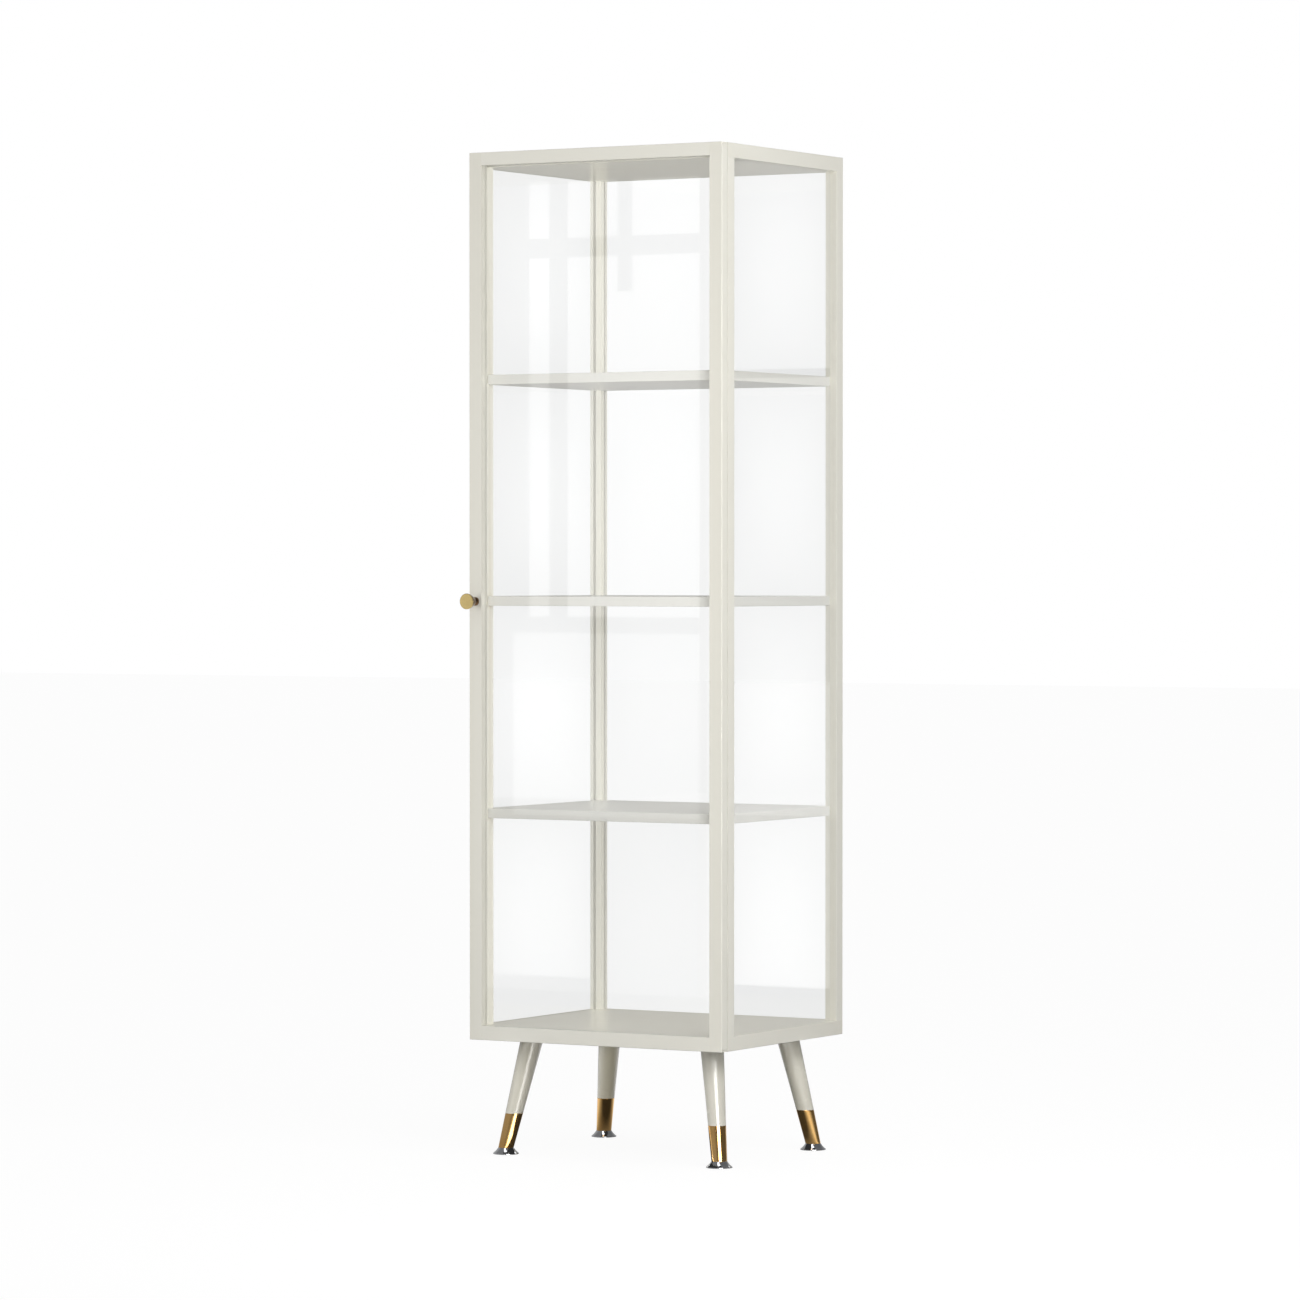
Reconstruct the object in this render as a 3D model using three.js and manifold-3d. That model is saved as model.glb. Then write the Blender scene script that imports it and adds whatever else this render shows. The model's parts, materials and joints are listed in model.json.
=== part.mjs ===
// A tall curio cabinet: a glazed case on four splayed legs, with three shelves and one framed glass door.
// Units are millimetres and +Z is up. The front of the cabinet looks along -Y.
// The origin is on the floor, midway between the sides of the case, and midway between its back and
// the front of the door knob.

import * as THREE from "three";
import { mergeVertices } from "three/addons/utils/BufferGeometryUtils.js";
import Module from "manifold-3d";

const wasm = await Module();
wasm.setup();

// ---- Driving dimensions ----

const WIDTH = 450;
const HEIGHT = 1550;
const CABINET_DEPTH = 380; // from the door's face to the back
const KNOB_PROJECTION = 26;
const UNDERSIDE_Z = 180; // underside of the case, so the height of the legs

const PANEL_THICKNESS = 22; // top and bottom panels
const POST = 20; // side of a square corner post
const GLASS_THICKNESS = 4;
const GLASS_INSET = 6; // from the case's outer face to the glass
const GROOVE_WIDTH = 4.6;
const GROOVE_DEPTH = 6;
const GLASS_BITE = 5; // how far a pane reaches into its groove
const TENON = 8; // square stub that locates a post in a panel
const TENON_SHIFT = 2; // the stub stands this far outwards from the post's middle

const DOOR_THICKNESS = 16;
const DOOR_GAP = 1.5; // between the door and the case
const STILE_WIDTH = 22;
const DOOR_TOP_RAIL = 20;
const DOOR_BOTTOM_RAIL = 22;

const SHELF_THICKNESS = 15;
const SHELF_TOPS = { upper: 1208, middle: 866, lower: 537.5 };
const SHELF_GAP = 1.5; // to the glass and to the case's front plane
const SHELF_NOTCH_GAP = 1; // to the posts
const SHELF_PIN_RADIUS = 2;
const SHELF_PIN_IN_POST = 6.5;
const SHELF_PIN_OUT = 8; // how far a pin stands out of its post
const REAR_PIN_SETBACK = 5; // from a rear post's front face

const FOOT_INSET = 34; // from the case's outer faces to a foot's centre
const LEG_SPLAY = 30; // sideways and backways run of a leg over its height
const LEG_TOP_RADIUS = 18;
const LEG_END_RADIUS = 12;
const FERRULE_HEIGHT = 53;
const FERRULE_WALL = 1.2;
const FERRULE_FLOOR = 1.5;
const FOOT_RADIUS = 20;
const FOOT_TOP_RADIUS = 12;
const FOOT_HEIGHT = 10;
const FOOT_EDGE = 1.2; // upright edge of the foot's disc
const FOOT_STUD_RADIUS = 3;
const FOOT_STUD_LENGTH = 25;
const LEG_PLATE_SIDE = 50;
const LEG_PLATE_THICKNESS = 3;
const LEG_STUD_RADIUS = 4;
const LEG_STUD_LENGTH = 30;

const KNOB_Z = 858;
const KNOB_RADIUS = 12.2;
const KNOB_COLLAR_RADIUS = 6.3;
const KNOB_COLLAR_LENGTH = 4;
const KNOB_NECK_RADIUS = 5.2;
const KNOB_NECK_LENGTH = 2; // from the collar to where the knob flares, half of it a taper
const KNOB_RIM = 1.2; // width of the cylindrical rim
const KNOB_EDGE = 0.8; // bevel around the knob's flat face
const SCREW_RADIUS = 2;
const SCREW_HEAD_RADIUS = 4;
const SCREW_HEAD_HEIGHT = 2.5;
const SCREW_HEAD_SUNK = 0.2; // below the door's back face
const KNOB_BORE_DEPTH = 10;
const KNOB_THREAD_LENGTH = 9;

const CATCH_Z = 918;
const MAGNET_RADIUS = 5;
const MAGNET_THICKNESS = 5;
const MAGNET_PROUD = 1.2;
const STRIKE_RADIUS = 6;
const STRIKE_THICKNESS = 2;

const HINGE_FROM_SIDE = 5; // pin axis to the door's right side
const HINGE_FROM_BACK = 10; // pin axis to the door's back face
const HINGE_PLATE_THICKNESS = 3;
const HINGE_TONGUE_WIDTH = 7;
const HINGE_TAIL_WIDTH = 18;
const HINGE_TAIL_LENGTH = 30;
const HINGE_TAIL_SETBACK = 3.5; // from the case's front plane
const HINGE_PIN_RADIUS = 2;
const HINGE_PIN_IN_BUSH = 11;
const HINGE_PIN_END_GAP = 0.5; // from the pin's end to the bottom of the bush's bore
const HINGE_BUSH_RADIUS = 3.5;
const HINGE_BUSH_LENGTH = 12;
const HINGE_BUSH_PROUD = 0.5; // the bush stands out of the pocket floor as a washer
const HINGE_POCKET_GAP = 0.4; // around the plate's tongue
const HINGE_POCKET_PAST = 3; // how far the pocket's outline passes the door's side and back
const DOOR_OPENS_TO = THREE.MathUtils.degToRad(100);
const HINGE_SCREW_LENGTH = 12;
const HINGE_SCREW_SPACING = 14;

const FIT = 0.3; // clearance between a piece and the hollow that holds it
const RUNNING_FIT = 0.08; // radial clearance of a pin that turns or slides
const PAST = 1; // how far a cutting solid passes the face that it opens
const PIN_SIDES = 12; // for shelf pins
const SCREW_SIDES = 16; // for screws and their holes
const ROUND_SIDES = 24; // for feet, hinge pins, bushes and their holes
const TURNED_SIDES = 32; // for legs and ferrules
const KNOB_SIDES = 40;
const ARC_SIDES = 6; // for the round end of a hinge plate's tongue

// ---- Planes and places worked out from them ----

const HALF_WIDTH = WIDTH / 2;
const HALF_DEPTH = (CABINET_DEPTH + KNOB_PROJECTION) / 2;
const REAR_Y = HALF_DEPTH;
const DOOR_FACE_Y = REAR_Y - CABINET_DEPTH;
const DOOR_BACK_Y = DOOR_FACE_Y + DOOR_THICKNESS;
const CASE_FRONT_Y = DOOR_BACK_Y + DOOR_GAP;
const FLOOR_Z = UNDERSIDE_Z + PANEL_THICKNESS; // upper face of the bottom panel
const CEILING_Z = HEIGHT - PANEL_THICKNESS; // lower face of the top panel
const POST_INNER_X = HALF_WIDTH - POST;
const FRONT_POST_BACK_Y = CASE_FRONT_Y + POST;
const REAR_POST_FRONT_Y = REAR_Y - POST;
const SIDE_GLASS_X = HALF_WIDTH - GLASS_INSET - GLASS_THICKNESS / 2;
const REAR_GLASS_Y = REAR_Y - GLASS_INSET - GLASS_THICKNESS / 2;
const STILE_INNER_X = HALF_WIDTH - STILE_WIDTH;
const STILE_MIDDLE_X = HALF_WIDTH - STILE_WIDTH / 2;
const DOOR_GLASS_Y = (DOOR_FACE_Y + DOOR_BACK_Y) / 2;
const DOOR_WINDOW_TOP = HEIGHT - DOOR_TOP_RAIL;
const DOOR_WINDOW_BOTTOM = UNDERSIDE_Z + DOOR_BOTTOM_RAIL;
const HINGE_X = HALF_WIDTH - HINGE_FROM_SIDE;
const HINGE_Y = DOOR_BACK_Y - HINGE_FROM_BACK;

// ---- Materials ----

const finishes = {
  paint: new THREE.MeshStandardMaterial({ color: 0xdedacc, roughness: 0.45, metalness: 0 }),
  glass: new THREE.MeshStandardMaterial({
    color: 0xe8f0ec, roughness: 0.02, metalness: 0, transparent: true, opacity: 0.25,
  }),
  brass: new THREE.MeshStandardMaterial({ color: 0xb8935a, roughness: 0.15, metalness: 1 }),
  chrome: new THREE.MeshStandardMaterial({ color: 0xc8c8cc, roughness: 0.08, metalness: 1 }),
  steel: new THREE.MeshStandardMaterial({ color: 0x9a9a98, roughness: 0.35, metalness: 1 }),
  magnet: new THREE.MeshStandardMaterial({ color: 0x8c8c90, roughness: 0.3, metalness: 1 }),
};

// ---- Shape helpers ----

const cabinet = new THREE.Group();
const caseGroup = new THREE.Group();
const doorGroup = new THREE.Group();
cabinet.add(caseGroup, doorGroup);

// A box between two opposite corners.
function block(low, high) {
  const size = high.map((value, i) => value - low[i]);
  const middle = high.map((value, i) => (value + low[i]) / 2);
  return new THREE.BoxGeometry(...size).translate(...middle);
}

// A box that is centred on a point in X and Y and runs between two heights.
function pillar(x, y, width, depth, bottom, top) {
  return block([x - width / 2, y - depth / 2, bottom], [x + width / 2, y + depth / 2, top]);
}

// A solid of revolution about the upright line through (x, y). The profile is a list of [radius, z].
function turned(profile, x, y, sides) {
  const points = profile.map(([radius, z]) => new THREE.Vector2(radius, z));
  return new THREE.LatheGeometry(points, sides).rotateX(Math.PI / 2).translate(x, y, 0);
}

// An upright round bar or hole.
function rod(x, y, radius, bottom, top, sides = ROUND_SIDES) {
  return turned([[0, bottom], [radius, bottom], [radius, top], [0, top]], x, y, sides);
}

// A solid of revolution about the level line through (x, z) that runs along Y.
// The profile is a list of [radius, distance in front of frontY].
function turnedForwards(profile, x, frontY, z, sides = ROUND_SIDES) {
  const points = profile.map(([radius, along]) => new THREE.Vector2(radius, along));
  return new THREE.LatheGeometry(points, sides).rotateX(Math.PI).translate(x, frontY, z);
}

// A round bar or hole along Y, from frontY towards -Y.
function rodForwards(x, frontY, z, radius, length) {
  return turnedForwards([[0, 0], [radius, 0], [radius, length], [0, length]], x, frontY, z);
}

// A round bar or hole along X between two places.
function rodSideways(fromX, toX, y, z, radius, sides) {
  const length = Math.abs(toX - fromX);
  return new THREE.CylinderGeometry(radius, radius, length, sides)
    .rotateZ(Math.PI / 2)
    .translate((fromX + toX) / 2, y, z);
}

// A flat outline in X and Y, given thickness between two heights.
function plate(shape, bottom, top) {
  const settings = { depth: top - bottom, bevelEnabled: false, curveSegments: ARC_SIDES };
  return new THREE.ExtrudeGeometry(shape, settings).translate(0, 0, bottom);
}

// Leans geometry that stands over a corner's foot as its leg leans: every level section slides towards
// the cabinet's middle without turning.
function splayedAt({ side, front }, geometry) {
  const slope = LEG_SPLAY / (UNDERSIDE_Z - FOOT_HEIGHT);
  const slopeX = -side * slope;
  const slopeY = front ? slope : -slope;
  const lean = new THREE.Matrix4().set(
    1, 0, slopeX, -slopeX * FOOT_HEIGHT,
    0, 1, slopeY, -slopeY * FOOT_HEIGHT,
    0, 0, 1, 0,
    0, 0, 0, 1,
  );
  return geometry.applyMatrix4(lean);
}

// A closed geometry as a manifold-3d solid.
function solidOf(geometry) {
  const bare = geometry.clone();
  bare.deleteAttribute("normal");
  bare.deleteAttribute("uv");
  const merged = mergeVertices(bare, 1e-4);
  return new wasm.Manifold(new wasm.Mesh({
    numProp: 3,
    vertProperties: new Float32Array(merged.attributes.position.array),
    triVerts: new Uint32Array(merged.index.array),
  }));
}

// A manifold-3d solid as a flat-shaded geometry.
function geometryOf(solid) {
  const mesh = solid.getMesh();
  const geometry = new THREE.BufferGeometry();
  geometry.setAttribute("position", new THREE.BufferAttribute(mesh.vertProperties, 3));
  geometry.setIndex(new THREE.BufferAttribute(mesh.triVerts, 1));
  const flat = geometry.toNonIndexed();
  flat.computeVertexNormals();
  return flat;
}

// The base geometry with other geometries joined to it and then others cut from it.
function shaped(base, { join = [], cut = [] }) {
  let solid = solidOf(base);
  for (const piece of join) solid = solid.add(solidOf(piece));
  for (const piece of cut) solid = solid.subtract(solidOf(piece));
  return geometryOf(solid);
}

function addPiece(group, name, geometry, finish) {
  const mesh = new THREE.Mesh(geometry, finishes[finish]);
  mesh.name = name;
  group.add(mesh);
}

// ---- Corners, each with its signs: side is -1 at the left and +1 at the right ----

const CORNERS = [
  { name: "front_left", side: -1, front: true },
  { name: "front_right", side: 1, front: true },
  { name: "rear_left", side: -1, front: false },
  { name: "rear_right", side: 1, front: false },
];

function postMiddle({ side, front }) {
  const y = front ? CASE_FRONT_Y + POST / 2 : REAR_Y - POST / 2;
  return [side * (HALF_WIDTH - POST / 2), y];
}

function tenonMiddle(corner) {
  const [x, y] = postMiddle(corner);
  const outwards = corner.front ? -1 : 1;
  return [x + corner.side * TENON_SHIFT, y + outwards * TENON_SHIFT];
}

function pinY({ front }) {
  return front ? CASE_FRONT_Y + POST / 2 : REAR_POST_FRONT_Y + REAR_PIN_SETBACK;
}

function footMiddle({ side, front }) {
  const y = front ? CASE_FRONT_Y + FOOT_INSET : REAR_Y - FOOT_INSET;
  return [side * (HALF_WIDTH - FOOT_INSET), y];
}

function legTopMiddle(corner) {
  const [x, y] = footMiddle(corner);
  const inwards = corner.front ? 1 : -1;
  return [x - corner.side * LEG_SPLAY, y + inwards * LEG_SPLAY];
}

// ---- Grooves that hold the fixed glass ----

const SIDE_GROOVE_FRONT_Y = FRONT_POST_BACK_Y - GROOVE_DEPTH;
const SIDE_GROOVE_REAR_Y = REAR_POST_FRONT_Y + GROOVE_DEPTH;
const REAR_GROOVE_END_X = POST_INNER_X + GROOVE_DEPTH;

function sideGroove(side, bottom, top) {
  const x = side * SIDE_GLASS_X;
  return block(
    [x - GROOVE_WIDTH / 2, SIDE_GROOVE_FRONT_Y, bottom],
    [x + GROOVE_WIDTH / 2, SIDE_GROOVE_REAR_Y, top],
  );
}

function rearGroove(bottom, top) {
  return block(
    [-REAR_GROOVE_END_X, REAR_GLASS_Y - GROOVE_WIDTH / 2, bottom],
    [REAR_GROOVE_END_X, REAR_GLASS_Y + GROOVE_WIDTH / 2, top],
  );
}

function glassGrooves(bottom, top) {
  return [sideGroove(-1, bottom, top), sideGroove(1, bottom, top), rearGroove(bottom, top)];
}

// ---- Top and bottom panels ----

function tenonMortises(bottom, top) {
  return CORNERS.map((corner) => {
    const [x, y] = tenonMiddle(corner);
    return pillar(x, y, TENON + 2 * FIT, TENON + 2 * FIT, bottom, top);
  });
}

function panelBlank(bottom, top) {
  return block([-HALF_WIDTH, CASE_FRONT_Y, bottom], [HALF_WIDTH, REAR_Y, top]);
}

// The hinge plate's outline: a broad tail in the panel and a round-ended tongue over the door's corner.
function hingePlateOutline(gap) {
  const half = HINGE_TONGUE_WIDTH / 2 + gap;
  const right = HINGE_X + half;
  const tailLeft = HINGE_X + HINGE_TONGUE_WIDTH / 2 - HINGE_TAIL_WIDTH - gap;
  const tailFront = CASE_FRONT_Y + HINGE_TAIL_SETBACK - gap;
  const tailBack = CASE_FRONT_Y + HINGE_TAIL_SETBACK + HINGE_TAIL_LENGTH + gap;
  const outline = new THREE.Shape();
  outline.moveTo(right, HINGE_Y);
  outline.lineTo(right, tailBack);
  outline.lineTo(tailLeft, tailBack);
  outline.lineTo(tailLeft, tailFront);
  outline.lineTo(HINGE_X - half, tailFront);
  outline.lineTo(HINGE_X - half, HINGE_Y);
  outline.absarc(HINGE_X, HINGE_Y, half, Math.PI, 2 * Math.PI, false);
  return outline;
}

const HINGE_SCREW_X = HINGE_X + HINGE_TONGUE_WIDTH / 2 - HINGE_TAIL_WIDTH / 2;
const HINGE_TAIL_MIDDLE_Y = CASE_FRONT_Y + HINGE_TAIL_SETBACK + HINGE_TAIL_LENGTH / 2;
const HINGE_SCREWS = [
  { name: "front", y: HINGE_TAIL_MIDDLE_Y - HINGE_SCREW_SPACING / 2 },
  { name: "rear", y: HINGE_TAIL_MIDDLE_Y + HINGE_SCREW_SPACING / 2 },
];

// The two hinge ends are alike: inwards is -1 at the top of the cabinet and +1 at the bottom.
const HINGE_ENDS = [
  { name: "top", outerZ: HEIGHT, inwards: -1 },
  { name: "bottom", outerZ: UNDERSIDE_Z, inwards: 1 },
];

// The height at a depth behind an end's outer face.
function heightAt({ outerZ, inwards }, depth) {
  return outerZ + inwards * depth;
}

// The heights at two depths behind an end's outer face, lowest first.
function span(end, nearDepth, farDepth) {
  const near = heightAt(end, nearDepth);
  const far = heightAt(end, farDepth);
  return [Math.min(near, far), Math.max(near, far)];
}

function hingeSeat(end) {
  const mortise = plate(hingePlateOutline(FIT), ...span(end, -PAST, HINGE_PLATE_THICKNESS));
  const pilotHeights = span(end, 0, HINGE_SCREW_LENGTH + PAST);
  const pilots = HINGE_SCREWS.map(({ y }) =>
    rod(HINGE_SCREW_X, y, SCREW_RADIUS + FIT, ...pilotHeights, SCREW_SIDES));
  return [mortise, ...pilots];
}

function addTopPanel() {
  const cuts = [
    ...glassGrooves(CEILING_Z - PAST, CEILING_Z + GROOVE_DEPTH),
    ...tenonMortises(CEILING_Z - PAST, CEILING_Z + TENON + FIT),
    ...hingeSeat(HINGE_ENDS[0]),
  ];
  addPiece(caseGroup, "top_panel", shaped(panelBlank(CEILING_Z, HEIGHT), { cut: cuts }), "paint");
}

function addBottomPanel() {
  const plateSeats = CORNERS.map((corner) => {
    const [x, y] = legTopMiddle(corner);
    const side = LEG_PLATE_SIDE + 2 * FIT;
    return pillar(x, y, side, side, UNDERSIDE_Z - PAST, UNDERSIDE_Z + LEG_PLATE_THICKNESS);
  });
  const cuts = [
    ...glassGrooves(FLOOR_Z - GROOVE_DEPTH, FLOOR_Z + PAST),
    ...tenonMortises(FLOOR_Z - TENON - FIT, FLOOR_Z + PAST),
    ...plateSeats,
    ...hingeSeat(HINGE_ENDS[1]),
  ];
  addPiece(caseGroup, "bottom_panel", shaped(panelBlank(UNDERSIDE_Z, FLOOR_Z), { cut: cuts }), "paint");
}

// ---- Corner posts ----

function addPosts() {
  for (const corner of CORNERS) {
    const [x, y] = postMiddle(corner);
    const tenon = pillar(...tenonMiddle(corner), TENON, TENON, FLOOR_Z - TENON, CEILING_Z + TENON);
    const cuts = [sideGroove(corner.side, FLOOR_Z - PAST, CEILING_Z + PAST)];
    if (!corner.front) cuts.push(rearGroove(FLOOR_Z - PAST, CEILING_Z + PAST));
    for (const top of Object.values(SHELF_TOPS)) cuts.push(shelfPinHole(corner, top));
    if (corner.name === "front_left") cuts.push(magnetHole());
    const blank = pillar(x, y, POST, POST, FLOOR_Z, CEILING_Z);
    addPiece(caseGroup, `post_${corner.name}`, shaped(blank, { join: [tenon], cut: cuts }), "paint");
  }
}

// ---- Fixed glass ----

function addFixedGlass() {
  const bottom = FLOOR_Z - GROOVE_DEPTH;
  const top = CEILING_Z + GLASS_BITE;
  const half = GLASS_THICKNESS / 2;
  for (const [name, side] of [["left", -1], ["right", 1]]) {
    const pane = block(
      [side * SIDE_GLASS_X - half, FRONT_POST_BACK_Y - GLASS_BITE, bottom],
      [side * SIDE_GLASS_X + half, REAR_POST_FRONT_Y + GLASS_BITE, top],
    );
    addPiece(caseGroup, `glass_${name}`, pane, "glass");
  }
  const rearPane = block(
    [-POST_INNER_X - GLASS_BITE, REAR_GLASS_Y - half, bottom],
    [POST_INNER_X + GLASS_BITE, REAR_GLASS_Y + half, top],
  );
  addPiece(caseGroup, "glass_rear", rearPane, "glass");
}

// ---- Shelves on pins that sit in slots under their corners ----

function shelfOutline() {
  const narrow = POST_INNER_X - SHELF_NOTCH_GAP;
  const wide = SIDE_GLASS_X - GLASS_THICKNESS / 2 - SHELF_GAP;
  const front = CASE_FRONT_Y + SHELF_GAP;
  const frontNotch = FRONT_POST_BACK_Y + SHELF_NOTCH_GAP;
  const rearNotch = REAR_POST_FRONT_Y - SHELF_NOTCH_GAP;
  const rear = REAR_GLASS_Y - GLASS_THICKNESS / 2 - SHELF_GAP;
  const rightEdge = [
    [narrow, front], [narrow, frontNotch], [wide, frontNotch],
    [wide, rearNotch], [narrow, rearNotch], [narrow, rear],
  ];
  const leftEdge = rightEdge.map(([x, y]) => [-x, y]).reverse();
  return new THREE.Shape([...rightEdge, ...leftEdge].map(([x, y]) => new THREE.Vector2(x, y)));
}

function pinZ(shelfTop) {
  return shelfTop - SHELF_THICKNESS + SHELF_PIN_RADIUS;
}

function shelfPinHole(corner, shelfTop) {
  const from = corner.side * (POST_INNER_X - PAST);
  const to = corner.side * (POST_INNER_X + SHELF_PIN_IN_POST + FIT);
  return rodSideways(from, to, pinY(corner), pinZ(shelfTop), SHELF_PIN_RADIUS + FIT, PIN_SIDES);
}

function shelfPinSlot(corner, shelfTop) {
  const middleX = corner.side * POST_INNER_X;
  const underside = shelfTop - SHELF_THICKNESS;
  const length = 2 * (SHELF_PIN_OUT + FIT);
  const width = 2 * (SHELF_PIN_RADIUS + FIT);
  const slotTop = underside + 2 * SHELF_PIN_RADIUS;
  return pillar(middleX, pinY(corner), length, width, underside - PAST, slotTop);
}

function addShelves() {
  for (const [name, top] of Object.entries(SHELF_TOPS)) {
    const board = plate(shelfOutline(), top - SHELF_THICKNESS, top);
    const slots = CORNERS.map((corner) => shelfPinSlot(corner, top));
    addPiece(caseGroup, `shelf_${name}`, shaped(board, { cut: slots }), "paint");
    for (const corner of CORNERS) {
      const from = corner.side * (POST_INNER_X - SHELF_PIN_OUT);
      const to = corner.side * (POST_INNER_X + SHELF_PIN_IN_POST);
      const pin = rodSideways(from, to, pinY(corner), pinZ(top), SHELF_PIN_RADIUS, PIN_SIDES);
      addPiece(caseGroup, `shelf_pin_${name}_${corner.name}`, pin, "steel");
    }
  }
}

// ---- Legs: a plate let into the panel, a tapered leg, a ferrule over its end and a screw-in foot ----

// The leg's outer radius at a height.
function legRadius(z) {
  const share = (z - FOOT_HEIGHT) / (UNDERSIDE_Z - FOOT_HEIGHT);
  return THREE.MathUtils.lerp(LEG_END_RADIUS, LEG_TOP_RADIUS, share);
}

const FERRULE_TOP_Z = FOOT_HEIGHT + FERRULE_HEIGHT;
const SPIGOT_BOTTOM_Z = FOOT_HEIGHT + FERRULE_FLOOR + FIT;

function footStudHole([x, y]) {
  const top = FOOT_HEIGHT + FOOT_STUD_LENGTH + PAST;
  return rod(x, y, FOOT_STUD_RADIUS + RUNNING_FIT, FOOT_HEIGHT - PAST, top);
}

function legStud(middle, corner, radius, length) {
  const top = UNDERSIDE_Z + LEG_PLATE_THICKNESS / 2;
  return splayedAt(corner, rod(...middle, radius, UNDERSIDE_Z - length, top, SCREW_SIDES));
}

function addLeg(corner) {
  const middle = footMiddle(corner);
  const spigot = (z) => legRadius(z) - FERRULE_WALL - FIT;
  const blank = splayedAt(corner, turned([
    [0, SPIGOT_BOTTOM_Z],
    [spigot(SPIGOT_BOTTOM_Z), SPIGOT_BOTTOM_Z],
    [spigot(FERRULE_TOP_Z), FERRULE_TOP_Z],
    [legRadius(FERRULE_TOP_Z), FERRULE_TOP_Z],
    [LEG_TOP_RADIUS, UNDERSIDE_Z],
    [0, UNDERSIDE_Z],
  ], ...middle, TURNED_SIDES));
  const studHole = legStud(middle, corner, LEG_STUD_RADIUS + FIT, LEG_STUD_LENGTH + PAST);
  const leg = shaped(blank, { cut: [studHole, footStudHole(middle)] });
  addPiece(caseGroup, `leg_${corner.name}`, leg, "paint");
}

function addFerrule(corner) {
  const middle = footMiddle(corner);
  const inside = (z) => legRadius(z) - FERRULE_WALL;
  const blank = splayedAt(corner, turned([
    [0, FOOT_HEIGHT],
    [LEG_END_RADIUS, FOOT_HEIGHT],
    [legRadius(FERRULE_TOP_Z), FERRULE_TOP_Z],
    [inside(FERRULE_TOP_Z), FERRULE_TOP_Z],
    [inside(FOOT_HEIGHT + FERRULE_FLOOR), FOOT_HEIGHT + FERRULE_FLOOR],
    [0, FOOT_HEIGHT + FERRULE_FLOOR],
  ], ...middle, TURNED_SIDES));
  const ferrule = shaped(blank, { cut: [footStudHole(middle)] });
  addPiece(caseGroup, `ferrule_${corner.name}`, ferrule, "brass");
}

function addFoot(corner) {
  const studTop = FOOT_HEIGHT + FOOT_STUD_LENGTH;
  const foot = turned([
    [0, 0],
    [FOOT_RADIUS, 0],
    [FOOT_RADIUS, FOOT_EDGE],
    [FOOT_TOP_RADIUS, FOOT_HEIGHT],
    [FOOT_STUD_RADIUS, FOOT_HEIGHT],
    [FOOT_STUD_RADIUS, studTop],
    [0, studTop],
  ], ...footMiddle(corner), ROUND_SIDES);
  addPiece(caseGroup, `foot_${corner.name}`, foot, "chrome");
}

function addLegPlate(corner) {
  const plateTop = UNDERSIDE_Z + LEG_PLATE_THICKNESS;
  const flat = pillar(...legTopMiddle(corner), LEG_PLATE_SIDE, LEG_PLATE_SIDE, UNDERSIDE_Z, plateTop);
  const stud = legStud(footMiddle(corner), corner, LEG_STUD_RADIUS, LEG_STUD_LENGTH);
  addPiece(caseGroup, `leg_plate_${corner.name}`, shaped(flat, { join: [stud] }), "steel");
}

// ---- Door: two stiles, two rails tongued into their grooves, and the pane between them ----

function stileGroove(side) {
  const inner = side * STILE_INNER_X;
  return pillar(
    inner, DOOR_GLASS_Y, 2 * GROOVE_DEPTH, GROOVE_WIDTH, UNDERSIDE_Z - PAST, HEIGHT + PAST,
  );
}

// The pocket in the door's corner that the plate's tongue sweeps while the door opens.
function hingePocketOutline() {
  const half = HINGE_TONGUE_WIDTH / 2 + HINGE_POCKET_GAP;
  const past = HINGE_FROM_SIDE + HINGE_POCKET_PAST;
  const behind = HINGE_FROM_BACK + HINGE_POCKET_PAST;
  const turn = DOOR_OPENS_TO - Math.PI / 2;
  const openFrontY = -past * Math.tan(turn) - half / Math.cos(turn);
  const outline = new THREE.Shape();
  outline.moveTo(HINGE_X - half, HINGE_Y);
  outline.absarc(HINGE_X, HINGE_Y, half, Math.PI, 1.5 * Math.PI - turn, false);
  outline.lineTo(HINGE_X + past, HINGE_Y + openFrontY);
  outline.lineTo(HINGE_X + past, HINGE_Y + behind);
  outline.lineTo(HINGE_X - half, HINGE_Y + behind);
  outline.closePath();
  return outline;
}

function hingePocket(end) {
  const floorDepth = HINGE_PLATE_THICKNESS + HINGE_BUSH_PROUD;
  const pocket = plate(hingePocketOutline(), ...span(end, -PAST, floorDepth));
  const bushEnd = HINGE_PLATE_THICKNESS + HINGE_BUSH_LENGTH + FIT;
  const bushHole = rod(HINGE_X, HINGE_Y, HINGE_BUSH_RADIUS + RUNNING_FIT, ...span(end, 0, bushEnd));
  return [pocket, bushHole];
}

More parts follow.
